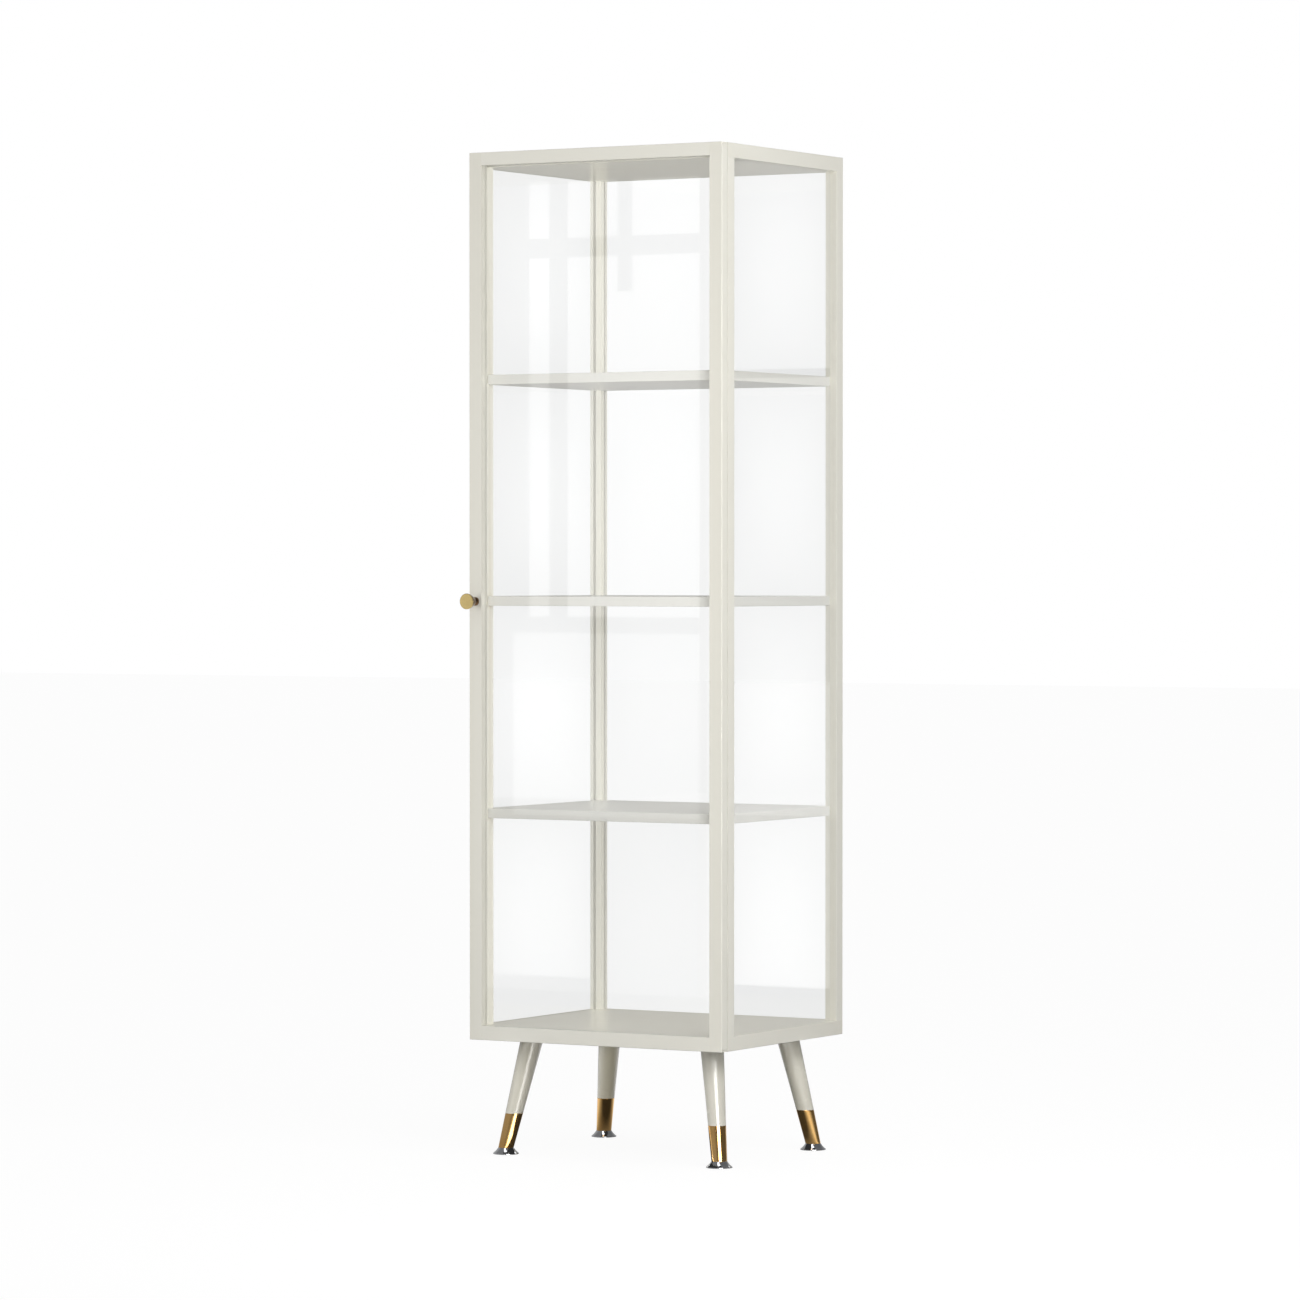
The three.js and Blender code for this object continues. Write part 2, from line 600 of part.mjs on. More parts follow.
function addDoorFrame() {
  const stileBlank = (side) =>
    pillar(side * STILE_MIDDLE_X, DOOR_GLASS_Y, STILE_WIDTH, DOOR_THICKNESS, UNDERSIDE_Z, HEIGHT);
  const rightCuts = [stileGroove(1), ...HINGE_ENDS.flatMap(hingePocket)];
  const leftCuts = [stileGroove(-1), knobScrewHole(), strikeHole()];
  addPiece(doorGroup, "door_stile_right", shaped(stileBlank(1), { cut: rightCuts }), "paint");
  addPiece(doorGroup, "door_stile_left", shaped(stileBlank(-1), { cut: leftCuts }), "paint");

  const rails = [
    { name: "top", bottom: DOOR_WINDOW_TOP, top: HEIGHT, grooveZ: DOOR_WINDOW_TOP },
    { name: "bottom", bottom: UNDERSIDE_Z, top: DOOR_WINDOW_BOTTOM, grooveZ: DOOR_WINDOW_BOTTOM },
  ];
  for (const { name, bottom, top, grooveZ } of rails) {
    const body = pillar(0, DOOR_GLASS_Y, 2 * STILE_INNER_X, DOOR_THICKNESS, bottom, top);
    const tongueWidth = 2 * (STILE_INNER_X + GLASS_BITE);
    const tongue = pillar(0, DOOR_GLASS_Y, tongueWidth, GLASS_THICKNESS, bottom, top);
    const grooveWidth = tongueWidth + 2 * PAST;
    const groove = pillar(
      0, DOOR_GLASS_Y, grooveWidth, GROOVE_WIDTH, grooveZ - GROOVE_DEPTH, grooveZ + GROOVE_DEPTH,
    );
    addPiece(doorGroup, `door_rail_${name}`, shaped(body, { join: [tongue], cut: [groove] }), "paint");
  }
}

function addDoorGlass() {
  const width = 2 * (STILE_INNER_X + GLASS_BITE);
  const bottom = DOOR_WINDOW_BOTTOM - GROOVE_DEPTH;
  const top = DOOR_WINDOW_TOP + GLASS_BITE;
  const pane = pillar(0, DOOR_GLASS_Y, width, GLASS_THICKNESS, bottom, top);
  addPiece(doorGroup, "door_glass", pane, "glass");
}

// ---- Knob and the screw that holds it from behind ----

const KNOB_X = -STILE_MIDDLE_X;
const SCREW_SEAT_Y = DOOR_BACK_Y - SCREW_HEAD_HEIGHT;

function knobScrewHole() {
  const seat = [
    [0, -PAST],
    [SCREW_HEAD_RADIUS + FIT, -PAST],
    [SCREW_HEAD_RADIUS + FIT, SCREW_HEAD_HEIGHT],
    [SCREW_RADIUS + FIT, SCREW_HEAD_HEIGHT],
    [SCREW_RADIUS + FIT, DOOR_THICKNESS + PAST],
    [0, DOOR_THICKNESS + PAST],
  ];
  return turnedForwards(seat, KNOB_X, DOOR_BACK_Y, KNOB_Z);
}

function addKnob() {
  const rimFront = KNOB_PROJECTION - KNOB_EDGE;
  const neckEnd = KNOB_COLLAR_LENGTH + KNOB_NECK_LENGTH;
  const profile = [
    [0, 0],
    [KNOB_COLLAR_RADIUS, 0],
    [KNOB_COLLAR_RADIUS, KNOB_COLLAR_LENGTH],
    [KNOB_NECK_RADIUS, neckEnd - KNOB_NECK_LENGTH / 2],
    [KNOB_NECK_RADIUS, neckEnd],
    [KNOB_RADIUS, rimFront - KNOB_RIM],
    [KNOB_RADIUS, rimFront],
    [KNOB_RADIUS - KNOB_EDGE, KNOB_PROJECTION],
    [0, KNOB_PROJECTION],
  ];
  const knob = turnedForwards(profile, KNOB_X, DOOR_FACE_Y, KNOB_Z, KNOB_SIDES);
  const bore = rodForwards(
    KNOB_X, DOOR_FACE_Y + PAST, KNOB_Z, SCREW_RADIUS + FIT, KNOB_BORE_DEPTH + PAST,
  );
  addPiece(doorGroup, "knob", shaped(knob, { cut: [bore] }), "brass");

  const shankLength = DOOR_THICKNESS - SCREW_HEAD_HEIGHT + KNOB_THREAD_LENGTH;
  const headBack = SCREW_HEAD_SUNK - SCREW_HEAD_HEIGHT;
  const screw = turnedForwards([
    [0, headBack],
    [SCREW_HEAD_RADIUS, headBack],
    [SCREW_HEAD_RADIUS, 0],
    [SCREW_RADIUS, 0],
    [SCREW_RADIUS, shankLength],
    [0, shankLength],
  ], KNOB_X, SCREW_SEAT_Y, KNOB_Z);
  addPiece(doorGroup, "knob_screw", screw, "steel");
}

// ---- Magnetic catch: a magnet in the left front post and a steel strike in the door ----

function magnetHole() {
  const depth = MAGNET_THICKNESS - MAGNET_PROUD;
  return rodForwards(KNOB_X, CASE_FRONT_Y + depth, CATCH_Z, MAGNET_RADIUS + FIT, depth + PAST);
}

function strikeHole() {
  return rodForwards(
    KNOB_X, DOOR_BACK_Y + PAST, CATCH_Z, STRIKE_RADIUS + FIT, STRIKE_THICKNESS + PAST,
  );
}

function addCatch() {
  const magnetBackY = CASE_FRONT_Y + MAGNET_THICKNESS - MAGNET_PROUD;
  const magnet = rodForwards(KNOB_X, magnetBackY, CATCH_Z, MAGNET_RADIUS, MAGNET_THICKNESS);
  addPiece(caseGroup, "catch_magnet", magnet, "magnet");
  const strike = rodForwards(KNOB_X, DOOR_BACK_Y, CATCH_Z, STRIKE_RADIUS, STRIKE_THICKNESS);
  addPiece(doorGroup, "catch_strike", strike, "steel");
}

// ---- Pivot hinges: a plate let into each panel, its pin, and a bush in the door ----

// A solid of revolution on a hinge screw's axis. The profile is a list of [radius, depth in the panel].
function turnedInPanel(end, y, profile) {
  const points = profile.map(([radius, depth]) => [radius, heightAt(end, depth)]);
  if (end.inwards < 0) points.reverse();
  return turned(points, HINGE_SCREW_X, y, SCREW_SIDES);
}

const HINGE_SCREW_HEAD_DEPTH = SCREW_HEAD_RADIUS - SCREW_RADIUS; // a 90 degree countersunk head

function countersink(end, y) {
  const through = HINGE_PLATE_THICKNESS + PAST;
  return turnedInPanel(end, y, [
    [0, -FIT],
    [SCREW_HEAD_RADIUS + FIT, -FIT],
    [SCREW_HEAD_RADIUS + FIT, 0],
    [SCREW_RADIUS + FIT, HINGE_SCREW_HEAD_DEPTH],
    [SCREW_RADIUS + FIT, through],
    [0, through],
  ]);
}

function hingeScrew(end, y) {
  return turnedInPanel(end, y, [
    [0, 0],
    [SCREW_HEAD_RADIUS, 0],
    [SCREW_RADIUS, HINGE_SCREW_HEAD_DEPTH],
    [SCREW_RADIUS, HINGE_SCREW_LENGTH],
    [0, HINGE_SCREW_LENGTH],
  ]);
}

function addHingeEnd(end) {
  const boreRadius = HINGE_PIN_RADIUS + RUNNING_FIT;
  const blank = plate(hingePlateOutline(0), ...span(end, 0, HINGE_PLATE_THICKNESS));
  const pinHole = rod(HINGE_X, HINGE_Y, boreRadius, ...span(end, -PAST, HINGE_PLATE_THICKNESS + PAST));
  const sinks = HINGE_SCREWS.map(({ y }) => countersink(end, y));
  const hingePlate = shaped(blank, { cut: [pinHole, ...sinks] });
  addPiece(caseGroup, `hinge_plate_${end.name}`, hingePlate, "paint");

  const pinEnd = HINGE_PLATE_THICKNESS + HINGE_PIN_IN_BUSH;
  const pin = rod(HINGE_X, HINGE_Y, HINGE_PIN_RADIUS, ...span(end, 0, pinEnd));
  addPiece(caseGroup, `hinge_pin_${end.name}`, pin, "steel");

  const bushEnd = HINGE_PLATE_THICKNESS + HINGE_BUSH_LENGTH;
  const bush = rod(HINGE_X, HINGE_Y, HINGE_BUSH_RADIUS, ...span(end, HINGE_PLATE_THICKNESS, bushEnd));
  const bore = rod(HINGE_X, HINGE_Y, boreRadius, ...span(end, 0, pinEnd + HINGE_PIN_END_GAP));
  addPiece(doorGroup, `hinge_bush_${end.name}`, shaped(bush, { cut: [bore] }), "brass");

  for (const { name, y } of HINGE_SCREWS) {
    addPiece(caseGroup, `hinge_screw_${end.name}_${name}`, hingeScrew(end, y), "steel");
  }
}

addTopPanel();
addBottomPanel();
addPosts();
addFixedGlass();
addShelves();
for (const corner of CORNERS) {
  addLeg(corner);
  addFerrule(corner);
  addFoot(corner);
  addLegPlate(corner);
}
addDoorFrame();
addDoorGlass();
addKnob();
addCatch();
HINGE_ENDS.forEach(addHingeEnd);

export default cabinet;
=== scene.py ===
import json
import math

import bmesh
import bpy
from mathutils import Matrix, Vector

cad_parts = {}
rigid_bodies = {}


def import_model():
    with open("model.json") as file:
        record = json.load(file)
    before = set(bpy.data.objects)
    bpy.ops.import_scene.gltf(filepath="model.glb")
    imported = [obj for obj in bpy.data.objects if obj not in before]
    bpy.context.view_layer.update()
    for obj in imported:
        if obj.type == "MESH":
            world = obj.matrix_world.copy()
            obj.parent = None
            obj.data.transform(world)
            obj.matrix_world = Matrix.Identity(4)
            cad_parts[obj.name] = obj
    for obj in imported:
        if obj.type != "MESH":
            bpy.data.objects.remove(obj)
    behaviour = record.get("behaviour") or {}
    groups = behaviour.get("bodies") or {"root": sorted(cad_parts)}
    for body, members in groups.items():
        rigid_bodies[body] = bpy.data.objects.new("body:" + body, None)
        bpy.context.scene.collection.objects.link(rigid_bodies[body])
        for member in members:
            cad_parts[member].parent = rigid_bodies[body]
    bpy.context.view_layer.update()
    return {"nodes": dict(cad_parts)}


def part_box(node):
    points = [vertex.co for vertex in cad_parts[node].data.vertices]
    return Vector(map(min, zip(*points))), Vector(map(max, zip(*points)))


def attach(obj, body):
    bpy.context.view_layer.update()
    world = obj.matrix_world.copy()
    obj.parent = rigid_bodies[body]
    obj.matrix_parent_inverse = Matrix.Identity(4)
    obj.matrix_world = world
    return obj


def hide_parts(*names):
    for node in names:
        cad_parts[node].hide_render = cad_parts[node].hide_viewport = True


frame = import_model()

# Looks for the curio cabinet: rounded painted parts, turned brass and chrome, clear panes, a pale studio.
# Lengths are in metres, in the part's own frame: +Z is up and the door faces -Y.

# ---- Places taken from the frame ----

MM = 0.001
CORNERS = {
    "front_left": (-1, 1),
    "front_right": (1, 1),
    "rear_left": (-1, -1),
    "rear_right": (1, -1),
}  # for each corner, its side in X and the way its leg leans in Y towards the cabinet's middle
SHELVES = ("upper", "middle", "lower")
HINGE_ENDS = {"top": 1, "bottom": -1}
FORWARDS = (0, -1)

CASE_LOW, CASE_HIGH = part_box("bottom_panel")
TOP_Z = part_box("top_panel")[1].z
DOOR_LOW, DOOR_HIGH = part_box("door_stile_right")
UNDERSIDE_Z = CASE_LOW.z
FOOT_TOP_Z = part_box("ferrule_front_left")[0].z
FERRULE_TOP_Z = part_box("ferrule_front_left")[1].z


def plane(axis, place):
    """A plane square to an axis, with its place in whole millimetres."""
    return axis, round(place / MM)


OUTER_PLANES = {
    plane(0, CASE_LOW.x),
    plane(0, CASE_HIGH.x),
    plane(1, CASE_HIGH.y),
    plane(1, DOOR_LOW.y),
    plane(2, TOP_Z),
    plane(2, UNDERSIDE_Z),
}  # of the faces seen from outside
SEAM_PLANES = {plane(1, DOOR_HIGH.y), plane(1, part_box("post_front_left")[0].y)}

# ---- Dimensions of the finish and the turned parts ----

ARRIS = 1.0 * MM  # rounding of the outer corners, less than the wood left beside a hinge plate
EASE = 0.3 * MM  # rounding of the other edges
SEAM_EASE = 0.12 * MM  # rounding along the gap between the door and the case
SHELF_EASE = 0.9 * MM  # not the same as ARRIS: softened() finds the edges of each pass by their radius
SMALL_FACE = 100 * MM * MM  # holes and slots have faces smaller than this, and keep their edges
SHARP_TURN = math.radians(60)  # edges that turn less than this keep their shape
SQUARE_SHARE = 0.999  # a face lies square to an axis if its normal has this much along it
ARRIS_STEPS = 4
SIDES = 96  # around a leg, a ferrule or a foot
HINGE_SIDES = 48  # around a hinge's pin or bush
CATCH_SIDES = 64
PIN_SIDES = 32
SCREW_SIDES = 40
DOME_STEPS = 6
FILLET_STEPS = 4
THREAD_SIDES = 36

LEG_TOP_RADIUS = 18 * MM
LEG_END_RADIUS = 12 * MM
LEG_SPLAY = 30 * MM
LEG_EDGE = 0.6 * MM  # height of the rounding at the leg's upper end
LEG_EDGE_POINTS = ((0.5 * MM, 0), (0.1 * MM, 0.15 * MM))  # its other points, in from the side and down
LEG_LOW_EDGE = 0.4 * MM  # height of the bevel above the ferrule
LEG_LOW_BEVEL = 0.3 * MM  # and its depth
PAINT_GAP = 0.02 * MM  # from the ferrule's top to the paint
LEG_STEPS = 24  # rings along a leg
FERRULE_WALL = 1.2 * MM
FERRULE_FLOOR = 1.5 * MM
FERRULE_LIP = 0.35 * MM
FERRULE_EDGE = 0.1 * MM
FERRULE_STEPS = 12
SPIGOT_GAP = 0.3 * MM
STUD_RADIUS = 3 * MM
STUD_LENGTH = 25 * MM
STUD_ROOT = 0.5 * MM  # how far its core reaches into the foot
STUD_PLAIN = 0.3 * MM  # its plain length above the foot
STUD_HOLE_RADIUS = 3.08 * MM
STUD_HOLE_SPARE = 1 * MM  # from the stud's end to the end of its hole
THREAD_PITCH = 1 * MM
THREAD_DEPTH = 0.55 * MM
THREAD_STEPS = 6  # rings in one turn of the thread
THREAD_RELIEF = 1.5 * MM  # from the stud's end to the thread, which starts at half this above the foot
FOOT_RADIUS = 20 * MM
FOOT_RIM = 1.2 * MM
FOOT_SHOULDER_RADIUS = 15.2 * MM
FOOT_SHOULDER = 5.2 * MM
FOOT_TOP_RADIUS = 12 * MM
PLATE_STUD_HOLE_RADIUS = 4.3 * MM
PLATE_STUD_HOLE_DEPTH = 31 * MM
PLATE_SCREW_REACH = 19 * MM  # in X and in Y, from a leg plate's middle to its screws

KNOB_STEM_RADIUS = 6.8 * MM
KNOB_STEM_END = 4 * MM  # counted from the door, like the ends of the neck
KNOB_NECK_RADIUS = 6.1 * MM
KNOB_NECK_ENDS = (4.4 * MM, 5.6 * MM)
KNOB_HEAD_RADIUS = 12.2 * MM
KNOB_HEAD_DEPTH = 2 * MM
KNOB_GOLD_DEPTH = 0.8 * MM  # from the knob's face to where its painted shade starts
KNOB_SHADE_DEPTH = 1.6 * MM  # and to where it is complete
BUSH_BORE_RADIUS = 2.08 * MM
BUSH_EDGE = 0.2 * MM
BUSH_FLOOR = 0.5 * MM
SCREW_RIM = 0.15 * MM  # height of the straight edge of a screw's head
SCREW_SINK = 0.1 * MM  # from a hinge plate's face down to its screws' heads
CROSS_DEPTH = 1.1 * MM
CROSS_REACH = 0.55  # as a share of the head's radius
CROSS_ARM = 0.28  # half an arm's width, as a share of that reach
CROSS_TAPER = 0.55  # its size at the bottom, as a share of that at the top
FLUSH_HEAD = 0.02 * MM  # dome of a screw whose head lies flat

SEAL_INSET = 0.15 * MM  # from the groove's mouth to the sealant
SEAL_SIDE = 0.28 * MM  # between the pane and the groove's wall
SEAL_DEPTH = 2 * MM

# ---- Mesh helpers ----


def link(name, data):
    piece = bpy.data.objects.new(name, data)
    bpy.context.scene.collection.objects.link(piece)
    return piece


def made_from(bm, name):
    """The piece that a finished bmesh makes."""
    mesh = bpy.data.meshes.new(name)
    bm.to_mesh(mesh)
    bm.free()
    return link(name, mesh)


def middle_of(node):
    low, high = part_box(node)
    return (low + high) / 2


def finish_mesh(piece, sharp_degrees=35):
    """Smooth shading that keeps flat faces flat and true corners sharp."""
    mesh = piece.data
    mesh.shade_smooth()
    mesh.set_sharp_from_angle(angle=math.radians(sharp_degrees))
    normals = piece.modifiers.new("flat faces", "WEIGHTED_NORMAL")
    normals.keep_sharp = True
    return piece


def ring_points(centre, radius, sides=SIDES):
    """A level ring. radius is a number, or a function of the angle."""
    points = []
    for i in range(sides):
        angle = 2 * math.pi * i / sides
        r = radius(angle) if callable(radius) else radius
        points.append(Vector(centre) + Vector((r * math.cos(angle), r * math.sin(angle), 0)))
    return points


def skin(name, rings, closed=False):
    """One closed mesh over a list of rings. A ring with one point is a pole."""
    bm = bmesh.new()
    made = [[bm.verts.new(p) for p in ring] for ring in rings]
    pairs = list(zip(made, made[1:]))
    if closed:
        pairs.append((made[-1], made[0]))
    for low, high in pairs:
        count = max(len(low), len(high))
        for i in range(count):
            j = (i + 1) % count
            if len(low) == 1:
                bm.faces.new((low[0], high[j], high[i]))
            elif len(high) == 1:
                bm.faces.new((low[i], low[j], high[0]))
            else:
                bm.faces.new((low[i], low[j], high[j], high[i]))
    bmesh.ops.recalc_face_normals(bm, faces=bm.faces)
    return made_from(bm, name)


def fillet(corner, before, after, radius):
    """Profile points of a rounded corner between two straight runs."""
    corner = Vector(corner)
    to_before = (Vector(before) - corner).normalized()
    to_after = (Vector(after) - corner).normalized()
    start = corner + to_before * radius
    end = corner + to_after * radius
    points = []
    for i in range(FILLET_STEPS + 1):
        t = i / FILLET_STEPS
        points.append(tuple((1 - t) ** 2 * start + 2 * t * (1 - t) * corner + t * t * end))
    return points


def rounded_profile(points, radii):
    """A profile of (radius, place) points with the given rounding at each point."""
    made = []
    for i, point in enumerate(points):
        if radii[i] and 0 < i < len(points) - 1:
            made += fillet(point, points[i - 1], points[i + 1], radii[i])
        else:
            made.append(tuple(point))
    return made


def plug_profile(radius, start, end, ease):
    """The profile of a plain round pin or disc with both its edges rounded."""
    return rounded_profile([(0, start), (radius, start), (radius, end), (0, end)], [0, ease, ease, 0])


def turned_upright(name, profile, x, y, sides=SIDES):
    """A closed solid of revolution about the upright line through (x, y)."""
    rings = []
    for radius, z in profile:
        centre = (x, y, z)
        rings.append([Vector(centre)] if radius == 0 else ring_points(centre, radius, sides))
    return skin(name, rings)


def turned_level(name, profile, start, facing, sides=SIDES):
    """A closed solid of revolution about a level line, with places counted from start along facing."""
    piece = turned_upright(name, profile, 0, 0, sides)
    x, y = facing
    for vertex in piece.data.vertices:
        across, up, along = vertex.co
        vertex.co = Vector(start) + Vector((x * along - y * across, y * along + x * across, up))
    return piece


# ---- Material helpers ----


def new_material(name):
    material = bpy.data.materials.new(name)
    material.use_nodes = True
    shader = material.node_tree.nodes["Principled BSDF"]
    return material, material.node_tree, shader


def bare_material(name):
    """A material with nothing but its output."""
    material = bpy.data.materials.new(name)
    material.use_nodes = True
    tree = material.node_tree
    tree.nodes.clear()
    return material, tree, tree.nodes.new("ShaderNodeOutputMaterial").inputs["Surface"]


def object_place(tree):
    return tree.nodes.new("ShaderNodeTexCoord").outputs["Object"]


def stretched(tree, place, scale):
    node = tree.nodes.new("ShaderNodeMapping")
    node.inputs["Scale"].default_value = scale
    tree.links.new(place, node.inputs["Vector"])
    return node.outputs["Vector"]


def noise(tree, place, scale, detail):
    node = tree.nodes.new("ShaderNodeTexNoise")
    node.inputs["Scale"].default_value = scale
    node.inputs["Detail"].default_value = detail
    tree.links.new(place, node.inputs["Vector"])
    return node.outputs["Fac"]


def spread(tree, value, low, high, from_low=0.3, from_high=0.7):
    """value, which runs from from_low to from_high, made to run from low to high."""
    node = tree.nodes.new("ShaderNodeMapRange")
    ends = {"From Min": from_low, "From Max": from_high, "To Min": low, "To Max": high}
    for name, end in ends.items():
        node.inputs[name].default_value = end
    tree.links.new(value, node.inputs["Value"])
    return node.outputs["Result"]


def blended(tree, share, first, second):
    """A colour between two colours. Each is a socket or three numbers."""
    node = tree.nodes.new("ShaderNodeMix")
    node.data_type = "RGBA"
    tree.links.new(share, node.inputs["Factor"])
    for colour, socket in ((first, node.inputs["A"]), (second, node.inputs["B"])):
        if isinstance(colour, tuple):
            socket.default_value = (*colour, 1)
        else:
            tree.links.new(colour, socket)
    return node.outputs["Result"]


def bumped(tree, shader, height, strength, distance):
    node = tree.nodes.new("ShaderNodeBump")
    node.inputs["Strength"].default_value = strength
    node.inputs["Distance"].default_value = distance
    tree.links.new(height, node.inputs["Height"])
    tree.links.new(node.outputs["Normal"], shader.inputs["Normal"])


def parts_of(tree, vector):
    """The X, Y and Z of a vector."""
    node = tree.nodes.new("ShaderNodeSeparateXYZ")
    tree.links.new(vector, node.inputs["Vector"])
    return node.outputs


def combined(tree, operation, first, second):
    """A math node on two inputs, each a socket or a number."""
    node = tree.nodes.new("ShaderNodeMath")
    node.operation = operation
    for i, value in enumerate((first, second)):
        if isinstance(value, (int, float)):
            node.inputs[i].default_value = value
        else:
            tree.links.new(value, node.inputs[i])
    return node.outputs["Value"]


def chosen(tree, switch, otherwise, when):
    """A shader that is when where the switch is 1, and otherwise where it is 0."""
    node = tree.nodes.new("ShaderNodeMixShader")
    tree.links.new(switch, node.inputs["Fac"])
    tree.links.new(otherwise, node.inputs[1])
    tree.links.new(when, node.inputs[2])
    return node.outputs["Shader"]


def pointiness(tree):
    return tree.nodes.new("ShaderNodeNewGeometry").outputs["Pointiness"]


# ---- Materials ----

CREAM = (0.79, 0.77, 0.68)
CREAM_WARM = (0.775, 0.745, 0.65)
# lighter tone of the corners: a little wear, and a painted highlight along the rounded edges
CREAM_WEAR_HIGHLIGHT = (0.88, 0.87, 0.80)
PALE = (0.775, 0.765, 0.725)
PALE_WARM = (0.755, 0.74, 0.695)
# painted shade on the knob behind its face
KNOB_PAINTED_SHADE = (0.20, 0.11, 0.05)
GLASS_TINTS = ((0.994, 0.996, 0.995), (0.988, 0.992, 0.991))
GLASS_INDEX = 1.5  # refractive index, which sets how much the pane mirrors
GLASS_FACES = 1.85  # a pane mirrors this many times what one of its two faces does


def make_paint(name, light, dark, edge, rough_low, rough_high, coat):
    """Satin sprayed paint: a faint drift in tone, orange peel, and corners painted a little lighter,
    partly wear and partly a painted highlight along the rounded edges.
    """
    material, tree, shader = new_material(name)
    place = object_place(tree)
    drift = spread(tree, noise(tree, place, 2.4, 2), 0, 1)
    flecks = spread(tree, noise(tree, place, 90, 3), 0, 1)
    body = blended(tree, drift, light, dark)
    flecked = blended(tree, spread(tree, flecks, 0, 0.2, 0, 1), body, dark)
    # painted highlight: corners found by pointiness are painted lighter, partly as wear
    worn_and_highlit = spread(tree, pointiness(tree), 0, 0.5, 0.51, 0.58)
    tree.links.new(blended(tree, worn_and_highlit, flecked, edge), shader.inputs["Base Color"])
    roughness = spread(tree, noise(tree, place, 35, 3), rough_low, rough_high)
    tree.links.new(roughness, shader.inputs["Roughness"])
    bumped(tree, shader, noise(tree, place, 520, 2), 0.12, 0.12 * MM)
    shader.inputs["Coat Weight"].default_value = coat
    shader.inputs["Coat Roughness"].default_value = 0.12
    shader.inputs["IOR"].default_value = 1.48
    return material


def make_metal(name, light, dark, rough_low, rough_high, grain, grain_scale, peak=0.06):
    """Bright metal with a faint grain along one direction and a tone that drifts."""
    material, tree, shader = new_material(name)
    place = object_place(tree)
    cloud = spread(tree, noise(tree, place, 45, 3), 0, 1)
    tree.links.new(blended(tree, cloud, light, dark), shader.inputs["Base Color"])
    lines = noise(tree, stretched(tree, place, grain), grain_scale, 2)
    tree.links.new(spread(tree, lines, rough_low, rough_high), shader.inputs["Roughness"])
    bumped(tree, shader, lines, peak, 0.02 * MM)
    shader.inputs["Metallic"].default_value = 1
    return material


def make_knob_brass():
    """Old gold brass, polished on the face, with a painted shade behind it: the rim, neck and stem are
    dark brown.
    """
    material = make_metal(
        "old_gold_brass", (0.86, 0.66, 0.29), (0.80, 0.61, 0.26), 0.08, 0.14, (1, 1, 1), 300
    )
    tree = material.node_tree
    shader = next(node for node in tree.nodes if node.type == "BSDF_PRINCIPLED")
    gold = shader.inputs["Base Color"].links[0].from_socket
    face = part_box("knob")[0].y
    depth = parts_of(tree, object_place(tree))["Y"]
    # painted shade: behind the face the brass runs to dark brown
    behind = spread(tree, depth, 0, 1, face + KNOB_GOLD_DEPTH, face + KNOB_SHADE_DEPTH)
    tree.links.new(blended(tree, behind, gold, KNOB_PAINTED_SHADE), shader.inputs["Base Color"])
    return material


def make_glass():
    """A clear pane: the face towards the viewer mirrors a share that grows towards the edge of sight, and
    lets the rest through."""
    material, tree, surface = bare_material("clear_glass")
    place = object_place(tree)
    through = tree.nodes.new("ShaderNodeBsdfTransparent")
    smears = spread(tree, noise(tree, place, 14, 4), 0, 1)
    tree.links.new(blended(tree, smears, *GLASS_TINTS), through.inputs["Color"])
    mirror = tree.nodes.new("ShaderNodeBsdfGlossy")
    mirror.inputs["Color"].default_value = (1, 1, 1, 1)
    tree.links.new(spread(tree, noise(tree, place, 9, 3), 0.01, 0.03), mirror.inputs["Roughness"])
    bumped(tree, mirror, noise(tree, place, 3.5, 1), 0.03, 0.3 * MM)

    fresnel = tree.nodes.new("ShaderNodeFresnel")
    fresnel.inputs["IOR"].default_value = GLASS_INDEX
    share = combined(tree, "MULTIPLY", fresnel.outputs["Fac"], GLASS_FACES)
    share.node.use_clamp = True
    pane = chosen(tree, share, through.outputs["BSDF"], mirror.outputs["BSDF"])
    clear = tree.nodes.new("ShaderNodeBsdfTransparent")
    back = tree.nodes.new("ShaderNodeNewGeometry").outputs["Backfacing"]
    tree.links.new(chosen(tree, back, pane, clear.outputs["BSDF"]), surface)
    return material


# Paints: light and dark tones, the corners' lighter tone (a little wear and a painted highlight), lowest
# and highest roughness,
# coat. Metals: light and dark tones, lowest and highest roughness, the grain's stretch and scale, and the
# strength of its bump.
PAINT = make_paint("satin_cream_paint", CREAM, CREAM_WARM, CREAM_WEAR_HIGHLIGHT, 0.30, 0.40, 0.25)
SHELF_PAINT = make_paint("satin_pale_paint", PALE, PALE_WARM, CREAM_WEAR_HIGHLIGHT, 0.34, 0.46, 0.1)
LEG_PAINT = make_paint("glossy_cream_paint", CREAM, CREAM_WARM, CREAM_WEAR_HIGHLIGHT, 0.20, 0.28, 0.8)
GLASS = make_glass()
BRASS = make_metal(
    "polished_brass", (0.84, 0.53, 0.21), (0.78, 0.46, 0.16), 0.08, 0.14, (1, 1, 12), 160
)
KNOB_BRASS = make_knob_brass()
BUSH_BRASS = make_metal(
    "turned_brass", (0.78, 0.58, 0.30), (0.70, 0.50, 0.24), 0.22, 0.32, (1, 1, 20), 120, 0.15
)
CHROME = make_metal(
    "chrome_plate", (0.86, 0.87, 0.89), (0.80, 0.81, 0.84), 0.03, 0.07, (1, 1, 1), 90, 0.02
)
ZINC = make_metal(
    "zinc_plate", (0.66, 0.67, 0.68), (0.54, 0.55, 0.58), 0.28, 0.42, (1, 6, 1), 80, 0.2
)
NICKEL = make_metal(
    "nickel_plate", (0.72, 0.70, 0.67), (0.64, 0.62, 0.60), 0.16, 0.26, (1, 1, 1), 70, 0.08
)


